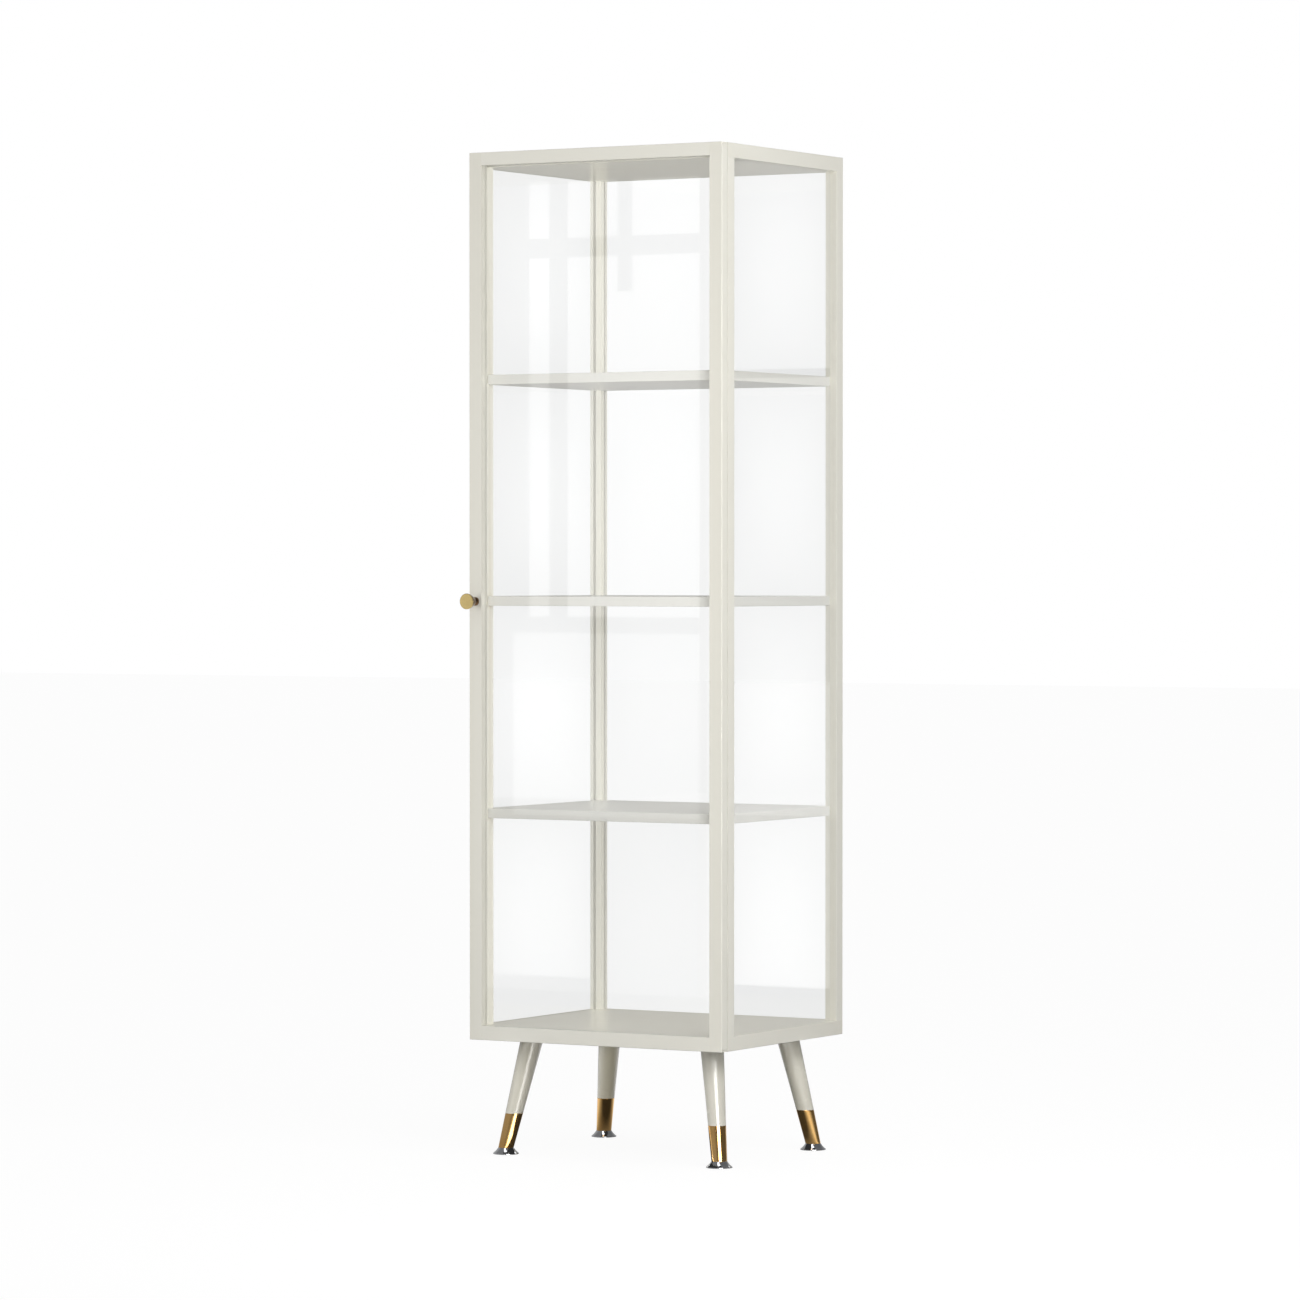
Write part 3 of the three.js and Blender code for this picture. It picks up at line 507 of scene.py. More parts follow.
def place_piece(piece, material, body, nodes):
    """Gives a new piece its material, hides the CAD nodes that it stands for, and rides it."""
    piece.data.materials.clear()
    piece.data.materials.append(material)
    if nodes:
        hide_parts(*nodes)
    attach(piece, body)


# ---- Painted boards, posts and frame members ----


def plane_of(face):
    """The face's plane, or None if the face is slanted."""
    sizes = [abs(n) for n in face.normal]
    axis = sizes.index(max(sizes))
    if sizes[axis] < SQUARE_SHARE:
        return None
    return plane(axis, face.calc_center_median()[axis])


def rounding_of(edge, joint_planes, ease):
    """The radius that an edge of a painted part gets, from the two faces that meet at it."""
    if len(edge.link_faces) != 2 or not edge.is_convex:
        return 0
    if edge.calc_face_angle(0) < SHARP_TURN:
        return 0
    if min(face.calc_area() for face in edge.link_faces) < SMALL_FACE:
        return 0
    planes = [plane_of(face) for face in edge.link_faces]
    if any(plane in joint_planes for plane in planes):
        return 0
    if all(plane in OUTER_PLANES for plane in planes):
        return ARRIS
    if any(plane in SEAM_PLANES for plane in planes):
        return SEAM_EASE
    return ease


def softened(node, joint_planes=(), ease=EASE):
    """A copy of a CAD node with its edges rounded as a painted part has them."""
    bm = bmesh.new()
    bm.from_mesh(frame["nodes"][node].data)
    bmesh.ops.remove_doubles(bm, verts=bm.verts, dist=0.005 * MM)
    bmesh.ops.dissolve_limit(
        bm, angle_limit=math.radians(0.5), verts=bm.verts, edges=bm.edges
    )
    kept = bm.edges.layers.float.new("radius")
    bm.normal_update()
    for edge in bm.edges:
        edge[kept] = rounding_of(edge, joint_planes, ease)
    for radius, steps in ((ARRIS, ARRIS_STEPS), (ease, 2), (SEAM_EASE, 1)):
        chosen = [e for e in bm.edges if abs(e[kept] - radius) < 1e-7]
        if not chosen:
            continue
        bmesh.ops.bevel(
            bm, geom=chosen, offset=radius, offset_type="OFFSET", segments=steps,
            profile=0.5, affect="EDGES", clamp_overlap=False,
        )
    return finish_mesh(made_from(bm, node + "_painted"))


def add_painted_parts():
    ceiling = plane(2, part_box("top_panel")[0].z)
    floor = plane(2, CASE_HIGH.z)
    rail_ends = {plane(0, DOOR_LOW.x), plane(0, -DOOR_LOW.x)}
    for name in ("top_panel", "bottom_panel"):
        place_piece(softened(name), PAINT, "case", [name])
    for corner in CORNERS:
        node = f"post_{corner}"
        place_piece(softened(node, {ceiling, floor}), PAINT, "case", [node])
    for shelf in SHELVES:
        node = f"shelf_{shelf}"
        place_piece(softened(node, (), SHELF_EASE), SHELF_PAINT, "case", [node])
    for side in ("left", "right"):
        node = f"door_stile_{side}"
        place_piece(softened(node), PAINT, "door", [node])
    for end in HINGE_ENDS:
        node = f"door_rail_{end}"
        place_piece(softened(node, rail_ends), PAINT, "door", [node])
        node = f"hinge_plate_{end}"
        place_piece(softened(node), PAINT, "case", [node])


# ---- Legs, ferrules and feet ----


def foot_centre(corner):
    middle = middle_of(f"foot_{corner}")
    return middle.x, middle.y


def leaned(corner, z):
    """The middle of a leg at a height."""
    side, inwards = CORNERS[corner]
    x, y = foot_centre(corner)
    run = LEG_SPLAY * (z - FOOT_TOP_Z) / (UNDERSIDE_Z - FOOT_TOP_Z)
    return x - side * run, y + inwards * run, z


def leg_radius(z):
    share = (z - FOOT_TOP_Z) / (UNDERSIDE_Z - FOOT_TOP_Z)
    return LEG_END_RADIUS + (LEG_TOP_RADIUS - LEG_END_RADIUS) * share


def leaned_ring(corner, radius, z):
    return ring_points(leaned(corner, z), radius)


def upright_ring(corner, radius, z):
    return ring_points((*foot_centre(corner), z), radius)


def tapered_rings(corner, start, end, steps):
    """Rings along a leg's own taper, from one height to another."""
    rings = []
    for i in range(steps + 1):
        z = start + (end - start) * i / steps
        rings.append(leaned_ring(corner, leg_radius(z), z))
    return rings


def add_leg(corner):
    """A leg, with the spigot inside its ferrule and the holes for the two studs."""
    def spigot(z):
        return leg_radius(z) - FERRULE_WALL - SPIGOT_GAP

    spigot_bottom = FOOT_TOP_Z + FERRULE_FLOOR + SPIGOT_GAP
    hole_bottom = UNDERSIDE_Z - PLATE_STUD_HOLE_DEPTH
    stud_hole_top = FOOT_TOP_Z + STUD_LENGTH + STUD_HOLE_SPARE
    rings = [
        [Vector(leaned(corner, hole_bottom))],
        leaned_ring(corner, PLATE_STUD_HOLE_RADIUS, hole_bottom),
        leaned_ring(corner, PLATE_STUD_HOLE_RADIUS, UNDERSIDE_Z),
    ]
    for inwards, down in LEG_EDGE_POINTS:
        rings.append(leaned_ring(corner, LEG_TOP_RADIUS - inwards, UNDERSIDE_Z - down))
    rings += tapered_rings(corner, UNDERSIDE_Z - LEG_EDGE, FERRULE_TOP_Z + LEG_LOW_EDGE, LEG_STEPS)
    rings += [
        leaned_ring(corner, leg_radius(FERRULE_TOP_Z) - LEG_LOW_BEVEL, FERRULE_TOP_Z + PAINT_GAP),
        leaned_ring(corner, spigot(FERRULE_TOP_Z), FERRULE_TOP_Z + PAINT_GAP),
        leaned_ring(corner, spigot(spigot_bottom), spigot_bottom),
        upright_ring(corner, STUD_HOLE_RADIUS, spigot_bottom),
        upright_ring(corner, STUD_HOLE_RADIUS, stud_hole_top),
        [Vector((*foot_centre(corner), stud_hole_top))],
    ]
    leg = finish_mesh(skin(f"leg_{corner}_turned", rings))
    place_piece(leg, LEG_PAINT, "case", [f"leg_{corner}"])


def add_ferrule(corner):
    inner_bottom = FOOT_TOP_Z + FERRULE_FLOOR
    rings = [
        leaned_ring(corner, leg_radius(FOOT_TOP_Z) - FERRULE_LIP, FOOT_TOP_Z),
        leaned_ring(corner, leg_radius(FOOT_TOP_Z) - FERRULE_EDGE, FOOT_TOP_Z + FERRULE_EDGE),
    ]
    low, high = FOOT_TOP_Z + FERRULE_LIP, FERRULE_TOP_Z - FERRULE_LIP
    rings += tapered_rings(corner, low, high, FERRULE_STEPS)
    rings += [
        leaned_ring(corner, leg_radius(FERRULE_TOP_Z) - FERRULE_EDGE, FERRULE_TOP_Z - FERRULE_EDGE),
        leaned_ring(corner, leg_radius(FERRULE_TOP_Z) - FERRULE_LIP, FERRULE_TOP_Z),
        leaned_ring(corner, leg_radius(FERRULE_TOP_Z) - FERRULE_WALL, FERRULE_TOP_Z),
        leaned_ring(corner, leg_radius(inner_bottom) - FERRULE_WALL, inner_bottom),
        upright_ring(corner, STUD_HOLE_RADIUS, inner_bottom),
        upright_ring(corner, STUD_HOLE_RADIUS, FOOT_TOP_Z),
    ]
    ferrule = finish_mesh(skin(f"ferrule_{corner}_turned", rings, closed=True))
    place_piece(ferrule, BRASS, "case", [f"ferrule_{corner}"])


def thread_rings(x, y, bottom, top):
    """Rings of a screw thread: each is a circle whose radius dips where the helix passes."""
    rings = []
    count = round((top - bottom) / THREAD_PITCH * THREAD_STEPS)
    for i in range(count + 1):
        z = bottom + (top - bottom) * i / count
        fade = min(1, i / THREAD_STEPS, (count - i) / THREAD_STEPS)

        def radius(angle, z=z, fade=fade):
            turn = (z / THREAD_PITCH - angle / (2 * math.pi)) % 1
            return STUD_RADIUS - THREAD_DEPTH * fade * abs(2 * turn - 1)

        rings.append(ring_points((x, y, z), radius, THREAD_SIDES))
    return rings


def add_foot(corner):
    x, y = foot_centre(corner)
    skirt = rounded_profile(
        [(0, 0), (FOOT_RADIUS, 0), (FOOT_RADIUS, FOOT_RIM), (FOOT_SHOULDER_RADIUS, FOOT_SHOULDER),
         (FOOT_TOP_RADIUS, FOOT_TOP_Z), (STUD_RADIUS, FOOT_TOP_Z)],
        [0, 0.35 * MM, 0.4 * MM, 3 * MM, 0.3 * MM, 0],
    )
    rings = [[Vector((x, y, 0))]]
    rings += [ring_points((x, y, z), radius) for radius, z in skirt[1:]]
    rings.append([Vector((x, y, FOOT_TOP_Z))])
    foot = finish_mesh(skin(f"foot_{corner}_turned", rings))
    place_piece(foot, CHROME, f"foot_{corner}", [f"foot_{corner}"])

    top = FOOT_TOP_Z + STUD_LENGTH
    core = STUD_RADIUS - THREAD_DEPTH
    stud_rings = [[Vector((x, y, FOOT_TOP_Z - STUD_ROOT))]]
    for z in (FOOT_TOP_Z - STUD_ROOT, FOOT_TOP_Z + STUD_PLAIN):
        stud_rings.append(ring_points((x, y, z), core, THREAD_SIDES))
    stud_rings += thread_rings(x, y, FOOT_TOP_Z + THREAD_RELIEF / 2, top - THREAD_RELIEF)
    stud_rings.append(ring_points((x, y, top), core, THREAD_SIDES))
    stud_rings.append([Vector((x, y, top))])
    stud = finish_mesh(skin(f"foot_{corner}_stud", stud_rings), 50)
    place_piece(stud, ZINC, f"foot_{corner}", [])


# ---- Knob, screws, pins, catch and bushes ----


def add_knob():
    low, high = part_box("knob")
    middle = middle_of("knob")
    face = high.y - low.y
    profile = rounded_profile(
        [(0, 0), (KNOB_STEM_RADIUS, 0), (KNOB_STEM_RADIUS, KNOB_STEM_END),
         *((KNOB_NECK_RADIUS, end) for end in KNOB_NECK_ENDS),
         (KNOB_HEAD_RADIUS, face - KNOB_HEAD_DEPTH), (KNOB_HEAD_RADIUS, face), (0, face)],
        [0, 0.3 * MM, 0.5 * MM, 0.3 * MM, 0.8 * MM, 0.7 * MM, 0.7 * MM, 0],
    )
    knob = turned_level("knob_turned", profile, (middle.x, high.y, middle.z), FORWARDS)
    place_piece(finish_mesh(knob), KNOB_BRASS, "door", ["knob"])


def cross_cutter(radius, depth):
    """A tapered cross, point down at z = -depth, for a driver recess in a screw head at z = 0."""
    bm = bmesh.new()
    arm = radius * CROSS_ARM
    outline = [
        (arm, arm), (radius, arm), (radius, -arm), (arm, -arm), (arm, -radius), (-arm, -radius),
        (-arm, -arm), (-radius, -arm), (-radius, arm), (-arm, arm), (-arm, radius), (arm, radius),
    ]
    top = [bm.verts.new((x, y, depth * 0.5)) for x, y in outline]
    low = [bm.verts.new((x * CROSS_TAPER, y * CROSS_TAPER, -depth)) for x, y in outline]
    bm.faces.new(top)
    bm.faces.new(low)
    for i in range(len(outline)):
        j = (i + 1) % len(outline)
        bm.faces.new((top[i], top[j], low[j], low[i]))
    bmesh.ops.recalc_face_normals(bm, faces=bm.faces)
    return made_from(bm, "cross")


def screw_mesh(name, head_radius, head_depth, dome, shank_radius, length):
    """The mesh of a countersunk screw, head up at z = 0, with a cross recess. The dome stands above it."""
    profile = [(0, -length), (shank_radius, -length), (shank_radius, -head_depth)]
    profile += [(head_radius, -SCREW_RIM), (head_radius, 0)]
    for i in range(1, DOME_STEPS):
        turn = math.pi / 2 * i / DOME_STEPS
        profile.append((head_radius * math.cos(turn), dome * math.sin(turn)))
    profile.append((0, dome))
    body = turned_upright(name, profile, 0, 0, SCREW_SIDES)
    cutter = cross_cutter(head_radius * CROSS_REACH, CROSS_DEPTH)
    cut = body.modifiers.new("recess", "BOOLEAN")
    cut.operation = "DIFFERENCE"
    cut.solver = "EXACT"
    cut.object = cutter
    shown = body.evaluated_get(bpy.context.evaluated_depsgraph_get())
    mesh = bpy.data.meshes.new_from_object(shown)
    for used in (body, cutter):
        bpy.data.objects.remove(used)
    mesh.name = name
    return mesh


def moved_copy(mesh, name, place):
    """A copy of a mesh with each vertex moved by a function."""
    copy = mesh.copy()
    copy.name = name
    for vertex in copy.vertices:
        vertex.co = place(vertex.co)
    return copy


def joined(name, meshes):
    """One piece made of several meshes."""
    bm = bmesh.new()
    for mesh in meshes:
        bm.from_mesh(mesh)
    bmesh.ops.recalc_face_normals(bm, faces=bm.faces)
    return made_from(bm, name)


def add_hinge_screws(end, up, mesh):
    for place in ("front", "rear"):
        node = f"hinge_screw_{end}_{place}"
        low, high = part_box(node)
        middle = middle_of(node)
        outer = high.z if up > 0 else low.z

        def to_place(co, middle=middle, outer=outer):
            return (middle.x + co.x, middle.y + up * co.y, outer + up * (co.z - SCREW_SINK))

        screw = joined(node + "_driven", [moved_copy(mesh, node, to_place)])
        place_piece(finish_mesh(screw), ZINC, "case", [node])


def add_hinge_pin(end):
    node = f"hinge_pin_{end}"
    low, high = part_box(node)
    middle = middle_of(node)
    profile = plug_profile((high.x - low.x) / 2, low.z, high.z, 0.4 * MM)
    pin = turned_upright(node + "_turned", profile, middle.x, middle.y, HINGE_SIDES)
    place_piece(finish_mesh(pin), ZINC, "case", [node])


def add_hinge_bush(end, up):
    """A bush closed at its inner end, with the pin's bore from its mouth."""
    node = f"hinge_bush_{end}"
    low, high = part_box(node)
    x, y, _ = middle_of(f"hinge_pin_{end}")
    radius = (high.x - low.x) / 2
    mouth, inner = (high.z, low.z) if up > 0 else (low.z, high.z)
    floor = inner + up * BUSH_FLOOR
    rings = [[Vector((x, y, inner))]]
    for ring_radius, z in (
        (radius, inner),
        (radius, mouth - up * BUSH_EDGE),
        (radius - BUSH_EDGE, mouth),
        (BUSH_BORE_RADIUS, mouth),
        (BUSH_BORE_RADIUS, floor),
    ):
        rings.append(ring_points((x, y, z), ring_radius, HINGE_SIDES))
    rings.append([Vector((x, y, floor))])
    bush = finish_mesh(skin(node + "_turned", rings))
    place_piece(bush, BUSH_BRASS, "door", [node])


def add_hinge_hardware():
    mesh = screw_mesh(
        "hinge_screw", head_radius=4 * MM, head_depth=2 * MM, dome=FLUSH_HEAD,
        shank_radius=2 * MM, length=12 * MM,
    )
    for end, up in HINGE_ENDS.items():
        add_hinge_screws(end, up, mesh)
        add_hinge_pin(end)
        add_hinge_bush(end, up)


def add_knob_screw():
    low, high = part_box("knob_screw")
    middle = middle_of("knob_screw")
    screw = screw_mesh(
        "knob_screw_head", head_radius=4 * MM, head_depth=2.3 * MM, dome=FLUSH_HEAD,
        shank_radius=2 * MM, length=high.y - low.y,
    )

    def to_place(co):
        return (middle.x - co.x, high.y + co.z - FLUSH_HEAD, middle.z + co.y)

    piece = joined("knob_screw_driven", [moved_copy(screw, "knob_screw", to_place)])
    place_piece(finish_mesh(piece), ZINC, "door", ["knob_screw"])


def add_leg_plates():
    """The plate let into the underside over each leg, with its four raised-head wood screws."""
    screw = screw_mesh(
        "plate_screw", head_radius=3.6 * MM, head_depth=2 * MM, dome=0.7 * MM,
        shank_radius=1.9 * MM, length=14 * MM,
    )
    reach = PLATE_SCREW_REACH
    for corner in CORNERS:
        node = f"leg_plate_{corner}"
        place_piece(softened(node), ZINC, "case", [node])
        x, y, z = leaned(corner, UNDERSIDE_Z)
        copies = []
        for across in (-reach, reach):
            for along in (-reach, reach):
                def to_place(co, across=across, along=along):
                    return (x + across + co.x, y + along - co.y, z - co.z)

                copies.append(moved_copy(screw, "copy", to_place))
        screws = joined(f"leg_plate_screws_{corner}", copies)
        place_piece(finish_mesh(screws), ZINC, "case", [])


def add_shelf_pins():
    for shelf in SHELVES:
        for corner, (side, _) in CORNERS.items():
            node = f"shelf_pin_{shelf}_{corner}"
            low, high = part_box(node)
            start = low.x if side > 0 else high.x
            profile = plug_profile((high.z - low.z) / 2, 0, high.x - low.x, 0.5 * MM)
            middle = middle_of(node)
            place = (start, middle.y, middle.z)
            pin = turned_level(node + "_turned", profile, place, (side, 0), PIN_SIDES)
            place_piece(finish_mesh(pin), ZINC, "case", [node])


def add_catch():
    for node, material, slot, body in (
        ("catch_magnet", NICKEL, "magnet", "case"),
        ("catch_strike", ZINC, "zinc_steel", "door"),
    ):
        low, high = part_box(node)
        middle = middle_of(node)
        profile = plug_profile((high.x - low.x) / 2, 0, high.y - low.y, 0.3 * MM)
        place = (middle.x, high.y, middle.z)
        disc = turned_level(node + "_turned", profile, place, FORWARDS, CATCH_SIDES)
        place_piece(finish_mesh(disc), material, body, [node])


def frame_ring(name, thin_axis, low, high, depth):
    """A flat rectangular ring. low and high bound its opening and its thickness; depth is its width."""
    across = 1 - thin_axis
    bm = bmesh.new()

    def corner(thin, wide, z):
        place = [0, 0, z]
        place[thin_axis] = thin
        place[across] = wide
        return bm.verts.new(place)

    loops = []
    for thin in (low[thin_axis], high[thin_axis]):
        for grown in (0, depth):
            left, right = low[across] - grown, high[across] + grown
            bottom, top = low.z - grown, high.z + grown
            corners = ((left, bottom), (right, bottom), (right, top), (left, top))
            loops.append([corner(thin, wide, z) for wide, z in corners])
    inner_near, outer_near, inner_far, outer_far = loops
    around = (inner_near, outer_near, outer_far, inner_far, inner_near)
    for first, second in zip(around, around[1:]):
        for i in range(4):
            j = (i + 1) % 4
            bm.faces.new((first[i], first[j], second[j], second[i]))
    bmesh.ops.recalc_face_normals(bm, faces=bm.faces)
    return made_from(bm, name)


def add_glass():
    """The panes, and the bead of sealant, tinted like the paint, that fills each groove's mouth."""
    sight_low = Vector((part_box("post_front_left")[1].x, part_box("post_front_left")[1].y, CASE_HIGH.z))
    sight_high = Vector((-sight_low.x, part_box("post_rear_left")[0].y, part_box("top_panel")[0].z))
    door_low = Vector((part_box("door_stile_left")[1].x, 0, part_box("door_rail_bottom")[1].z))
    door_high = Vector((DOOR_LOW.x, 0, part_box("door_rail_top")[0].z))
    for name, thin_axis, body, opening in (
        ("glass_left", 0, "case", (sight_low, sight_high)),
        ("glass_right", 0, "case", (sight_low, sight_high)),
        ("glass_rear", 1, "case", (sight_low, sight_high)),
        ("door_glass", 1, "door", (door_low, door_high)),
    ):
        pane = frame["nodes"][name]
        pane.data.materials.clear()
        pane.data.materials.append(GLASS)
        inset = Vector((SEAL_INSET, SEAL_INSET, SEAL_INSET))
        low, high = opening[0] - inset, opening[1] + inset
        pane_low, pane_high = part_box(name)
        low[thin_axis] = pane_low[thin_axis] - SEAL_SIDE
        high[thin_axis] = pane_high[thin_axis] + SEAL_SIDE
        seal = frame_ring(f"seal_{name}", thin_axis, low, high, SEAL_DEPTH)
        place_piece(seal, PAINT, body, [])


add_painted_parts()
for corner_name in CORNERS:
    add_leg(corner_name)
    add_ferrule(corner_name)
    add_foot(corner_name)
add_leg_plates()
add_knob()
add_knob_screw()
add_hinge_hardware()
add_shelf_pins()
add_catch()
add_glass()

# ---- Studio ----

CAMERA_AZIMUTH = math.radians(30.6)
CAMERA_PITCH = math.radians(0.883)  # below the horizon
CAMERA_HEIGHT = 0.911
CAMERA_REACH = 8.094  # from the camera to the case's near front corner, along the line of sight
CORNER_OFFSET = 0.1082  # how far that corner is to the right of the line of sight
CAMERA_LENS = 149.12

SHELF_PIECES = tuple(f"shelf_{shelf}" for shelf in SHELVES)
FRONT_PIECES = (
    "door_", "hinge_", "knob", "post_front", "top_panel", "bottom_panel", "leg_", "ferrule_", "foot_"
)
WARM = (1.0, 0.9, 0.6)
SIDE_LEGS = ("leg_front_left", "leg_rear_right")
NEAR_FLOOR = ((0.9, -1.6, 0.25), (0, 0, 0.12), 0.5, 0.3)  # place, aim, width and height of a lamp
RIGHT = ((2.6, -0.1, 0.9), (0, 0, 0.9), 1.6, 1.7)
FRONT = ((-0.2, -2.6, 1.4), (0, 0, 0.9), 1.6, 1.2)
UPPER_FRONT = ((-0.4, -1.5, 1.45), (0, 0, 1.35), 0.8, 0.6)
ABOVE = ((0, 0, 3.0), (0, 0, 0), 1.0, 1.0)
BELOW = ((0, 0, -1.0), (0, 0, 1.0), 1.0, 1.0)
SOFTBOXES = (
    # name, place, aim, width, height, radiance, the pieces it lights if not all, colour if not white
    ("key", (1.62, -1.38, 1.35), (0.1, 0, 1.35), 0.9, 0.7, 8.1),
    ("key_low", (1.62, -1.38, 0.6), (0.1, 0, 0.6), 0.9, 0.7, 2.7),
    ("side", (2.0, -0.5, 2.15), (0.2, 0, 1.5), 0.8, 0.8, 5.4),
    ("fill", (-1.6, -2.2, 1.2), (0, 0, 1.2), 1.0, 0.8, 4.9, FRONT_PIECES),
    ("fill_low", (-1.6, -2.2, 0.5), (0, 0, 0.6), 1.0, 0.6, 3.4, FRONT_PIECES),
    ("under_rear", *NEAR_FLOOR, 14.0, ("leg_rear_left",), WARM),
    ("under_sides", *NEAR_FLOOR, 5.0, SIDE_LEGS, WARM),
)
INSIDE_LIGHTS = (
    # the same for lamps that shine through everything but the pieces they light
    ("posts_front", (-0.8, -2.6, 0.95), (0, 0, 0.9), 1.6, 1.7, 2.3, ("post_rear_left",)),
    ("posts_right", *RIGHT, 2.4, ("post_rear_left",)),
    ("upper_posts_front", *UPPER_FRONT, 4.0, ("post_rear_left",)),
    ("upper_posts_right", (1.5, -0.1, 1.45), (0, 0, 1.35), 0.8, 0.6, 4.0, ("post_rear_left",)),
    ("left_post", *RIGHT, 3.6, ("post_front_left",)),
    ("right_post", *UPPER_FRONT, 1.2, ("post_rear_right",)),
    ("shelves_front", *FRONT, 3.4, ("shelf_upper", "shelf_middle")),
    ("low_shelf_front", *FRONT, 2.2, ("shelf_lower",)),
    ("shelf_right", (2.6, -0.1, 1.2), (0, 0, 0.9), 1.6, 1.2, 0.6, ("shelf_upper",)),
    ("low_shelf_top", *ABOVE, 5.0, ("shelf_lower",)),
    ("upper_shelf_under", *BELOW, 4.5, ("shelf_upper",)),
    ("ceiling", *BELOW, 6.0, ("top_panel",)),
    ("floor", *ABOVE, 8.0, ("bottom_panel",)),
)
ROOM_LIGHT = 0.46
MIRRORED_ROOM = ((0.12, 0.12, 0.12), (0.36, 0.36, 0.36))  # its darkest and lightest tones in mirrors
LIGHT_WALL = (-0.3, 0.45)  # X of a direction, from the room's light side to its dark side
LIGHT_WALL_TOP = (0.35, 0.7)  # Z of a direction, over which the light side fades
LIGHT_WALL_REST = 0.25  # what is left of it above that
FLOOR_TONES = ((0.55, 0.55, 0.55), (0.528, 0.528, 0.528))
FLOOR_SHADE = 0.12  # its tone under the cabinet, a painted shadow
FLOOR_SEEN = 0.1  # tone of the floor where the camera sees it, under its glow
FLOOR_REACH = 30
SHADE_START = 0.2  # distances from the cabinet's middle over which the painted shadow fades and the floor brightens
SHADE_END = 0.42
FLOOR_IN_MIRRORS = 0.7  # its glow in mirrors, near the cabinet
FAR_FLOOR = 0.2  # the share of that left beyond FAR_END. It fades from FAR_START
FAR_START = 0.9
FAR_END = 1.2
FLOOR_GLOW = 0.922  # added where the camera sees the floor, so that it's nearly as white as the backdrop

ROOM_DEPTH = 3.0  # from the cabinet's middle to the cards, forwards and backwards
WINDOW_DEPTH = 2.95
WINDOWS = (
    # left, right, bottom and top of each window pane where it shows on the door, and its glow
    (-0.119, -0.083, 1.414, 1.50, 1.05),
    (-0.05, 0.039, 1.414, 1.50, 1.05),
    (0.065, 0.183, 1.414, 1.50, 1.05),
    (-0.05, 0.039, 1.33, 1.384, 1.05),
    (0.065, 0.183, 1.33, 1.384, 1.05),
    (-0.119, -0.083, 0.835, 1.384, 1.05),
    (-0.05, 0.183, 0.835, 1.33, 1.05),
    (-0.148, 0.183, 0.53, 0.81, 0.7),
)
DOOR_COLUMNS = ((-0.25, 0.006), (0.006, 0.26))
DOOR_GLOWS = ((0.65, 0.25), (0.35, 0.05), (0.35, 0.05), (0.35, 0.05))  # lowest first, middle and edge
KNOB_GLOW = 0.4
KNOB_GLOW_REACH = 0.25  # how far its card shows around the knob
SIDE_GLOWS = {"glass_left": (0.7, 0.4), "glass_right": (0.95, 0.6)}  # for each pane, middle and edge

STRIP_PLACE = Vector((1.62, -1.52, 0))
STRIP_WIDTH = 1.25
STRIP_BOTTOM = 0.1
STRIP_TOP = 2.2
STRIP_GLOW = 8.0
STRIP_PIECES = ("leg", "ferrule", "foot", "door_stile_right", "post_front_right")
STREAK_GLOW = 4.0
STREAK_START = Vector((0.07, -0.07, MM))  # from the middle of the front left foot, on the floor
STREAK_END = 0.9  # as a share of the way to the strip
STREAK_WIDTHS = (0.12, 0.5)  # at its start and its end, as shares of the strip's width
# the flag: a near-black card under the cabinet, a painted shade that mirrors see
FLAG_GLOW = 0.03
FLAG_DROP = 1 * MM  # below the underside
GLINT_GLOW = 1.6
GLINT_DROP = 3 * MM
GLINT_REACH = (0.02, -0.075)  # from a foot's middle to the middle of its glint
GLINT_HALF_SIZE = (0.03, 0.05)


def camera_place():
    look = Vector((-math.sin(CAMERA_AZIMUTH), math.cos(CAMERA_AZIMUTH), 0))
    right = Vector((math.cos(CAMERA_AZIMUTH), math.sin(CAMERA_AZIMUTH), 0))
    corner = Vector((DOOR_HIGH.x, DOOR_LOW.y, CAMERA_HEIGHT))
    return corner - look * CAMERA_REACH - right * CORNER_OFFSET


def add_camera():
    data = bpy.data.cameras.new("camera")
    data.lens = CAMERA_LENS
    data.clip_end = 100
    camera = link("camera", data)
    camera.location = camera_place()
    camera.rotation_euler = (math.pi / 2 - CAMERA_PITCH, 0, CAMERA_AZIMUTH)
    bpy.context.scene.camera = camera


def lights_only(lamp, names):
    """Limit a lamp or a glowing card to the pieces whose names start with one of these."""
    lit = bpy.data.collections.new(lamp.name)
    for piece in bpy.context.scene.objects:
        if piece.name.startswith(names):
            lit.objects.link(piece)
    lamp.light_linking.receiver_collection = lit


def add_softbox(name, place, target, width, height, radiance, lit_parts=(), colour=(1, 1, 1)):
    data = bpy.data.lights.new(name, "AREA")
    data.shape = "RECTANGLE"
    data.size = width
    data.size_y = height
    data.energy = radiance * math.pi * width * height
    data.color = colour
    lamp = link(name, data)
    lamp.location = place
    lamp.rotation_euler = (Vector(target) - Vector(place)).to_track_quat("-Z", "Y").to_euler()
    lamp.visible_camera = False
    lamp.visible_glossy = False
    if lit_parts:
        lights_only(lamp, lit_parts)
    return lamp


def sheet(name, corners):
    """A flat four-cornered surface of the studio."""
    bm = bmesh.new()
    bm.faces.new([bm.verts.new(corner) for corner in corners])
    piece = made_from(bm, name)
    return piece


def level_corners(middle, half, z):
    """The corners of a level rectangle, from its middle and half its size, both in X and Y."""
    signs = ((-1, -1), (1, -1), (1, 1), (-1, 1))
    return [(middle[0] + x * half[0], middle[1] + y * half[1], z) for x, y in signs]


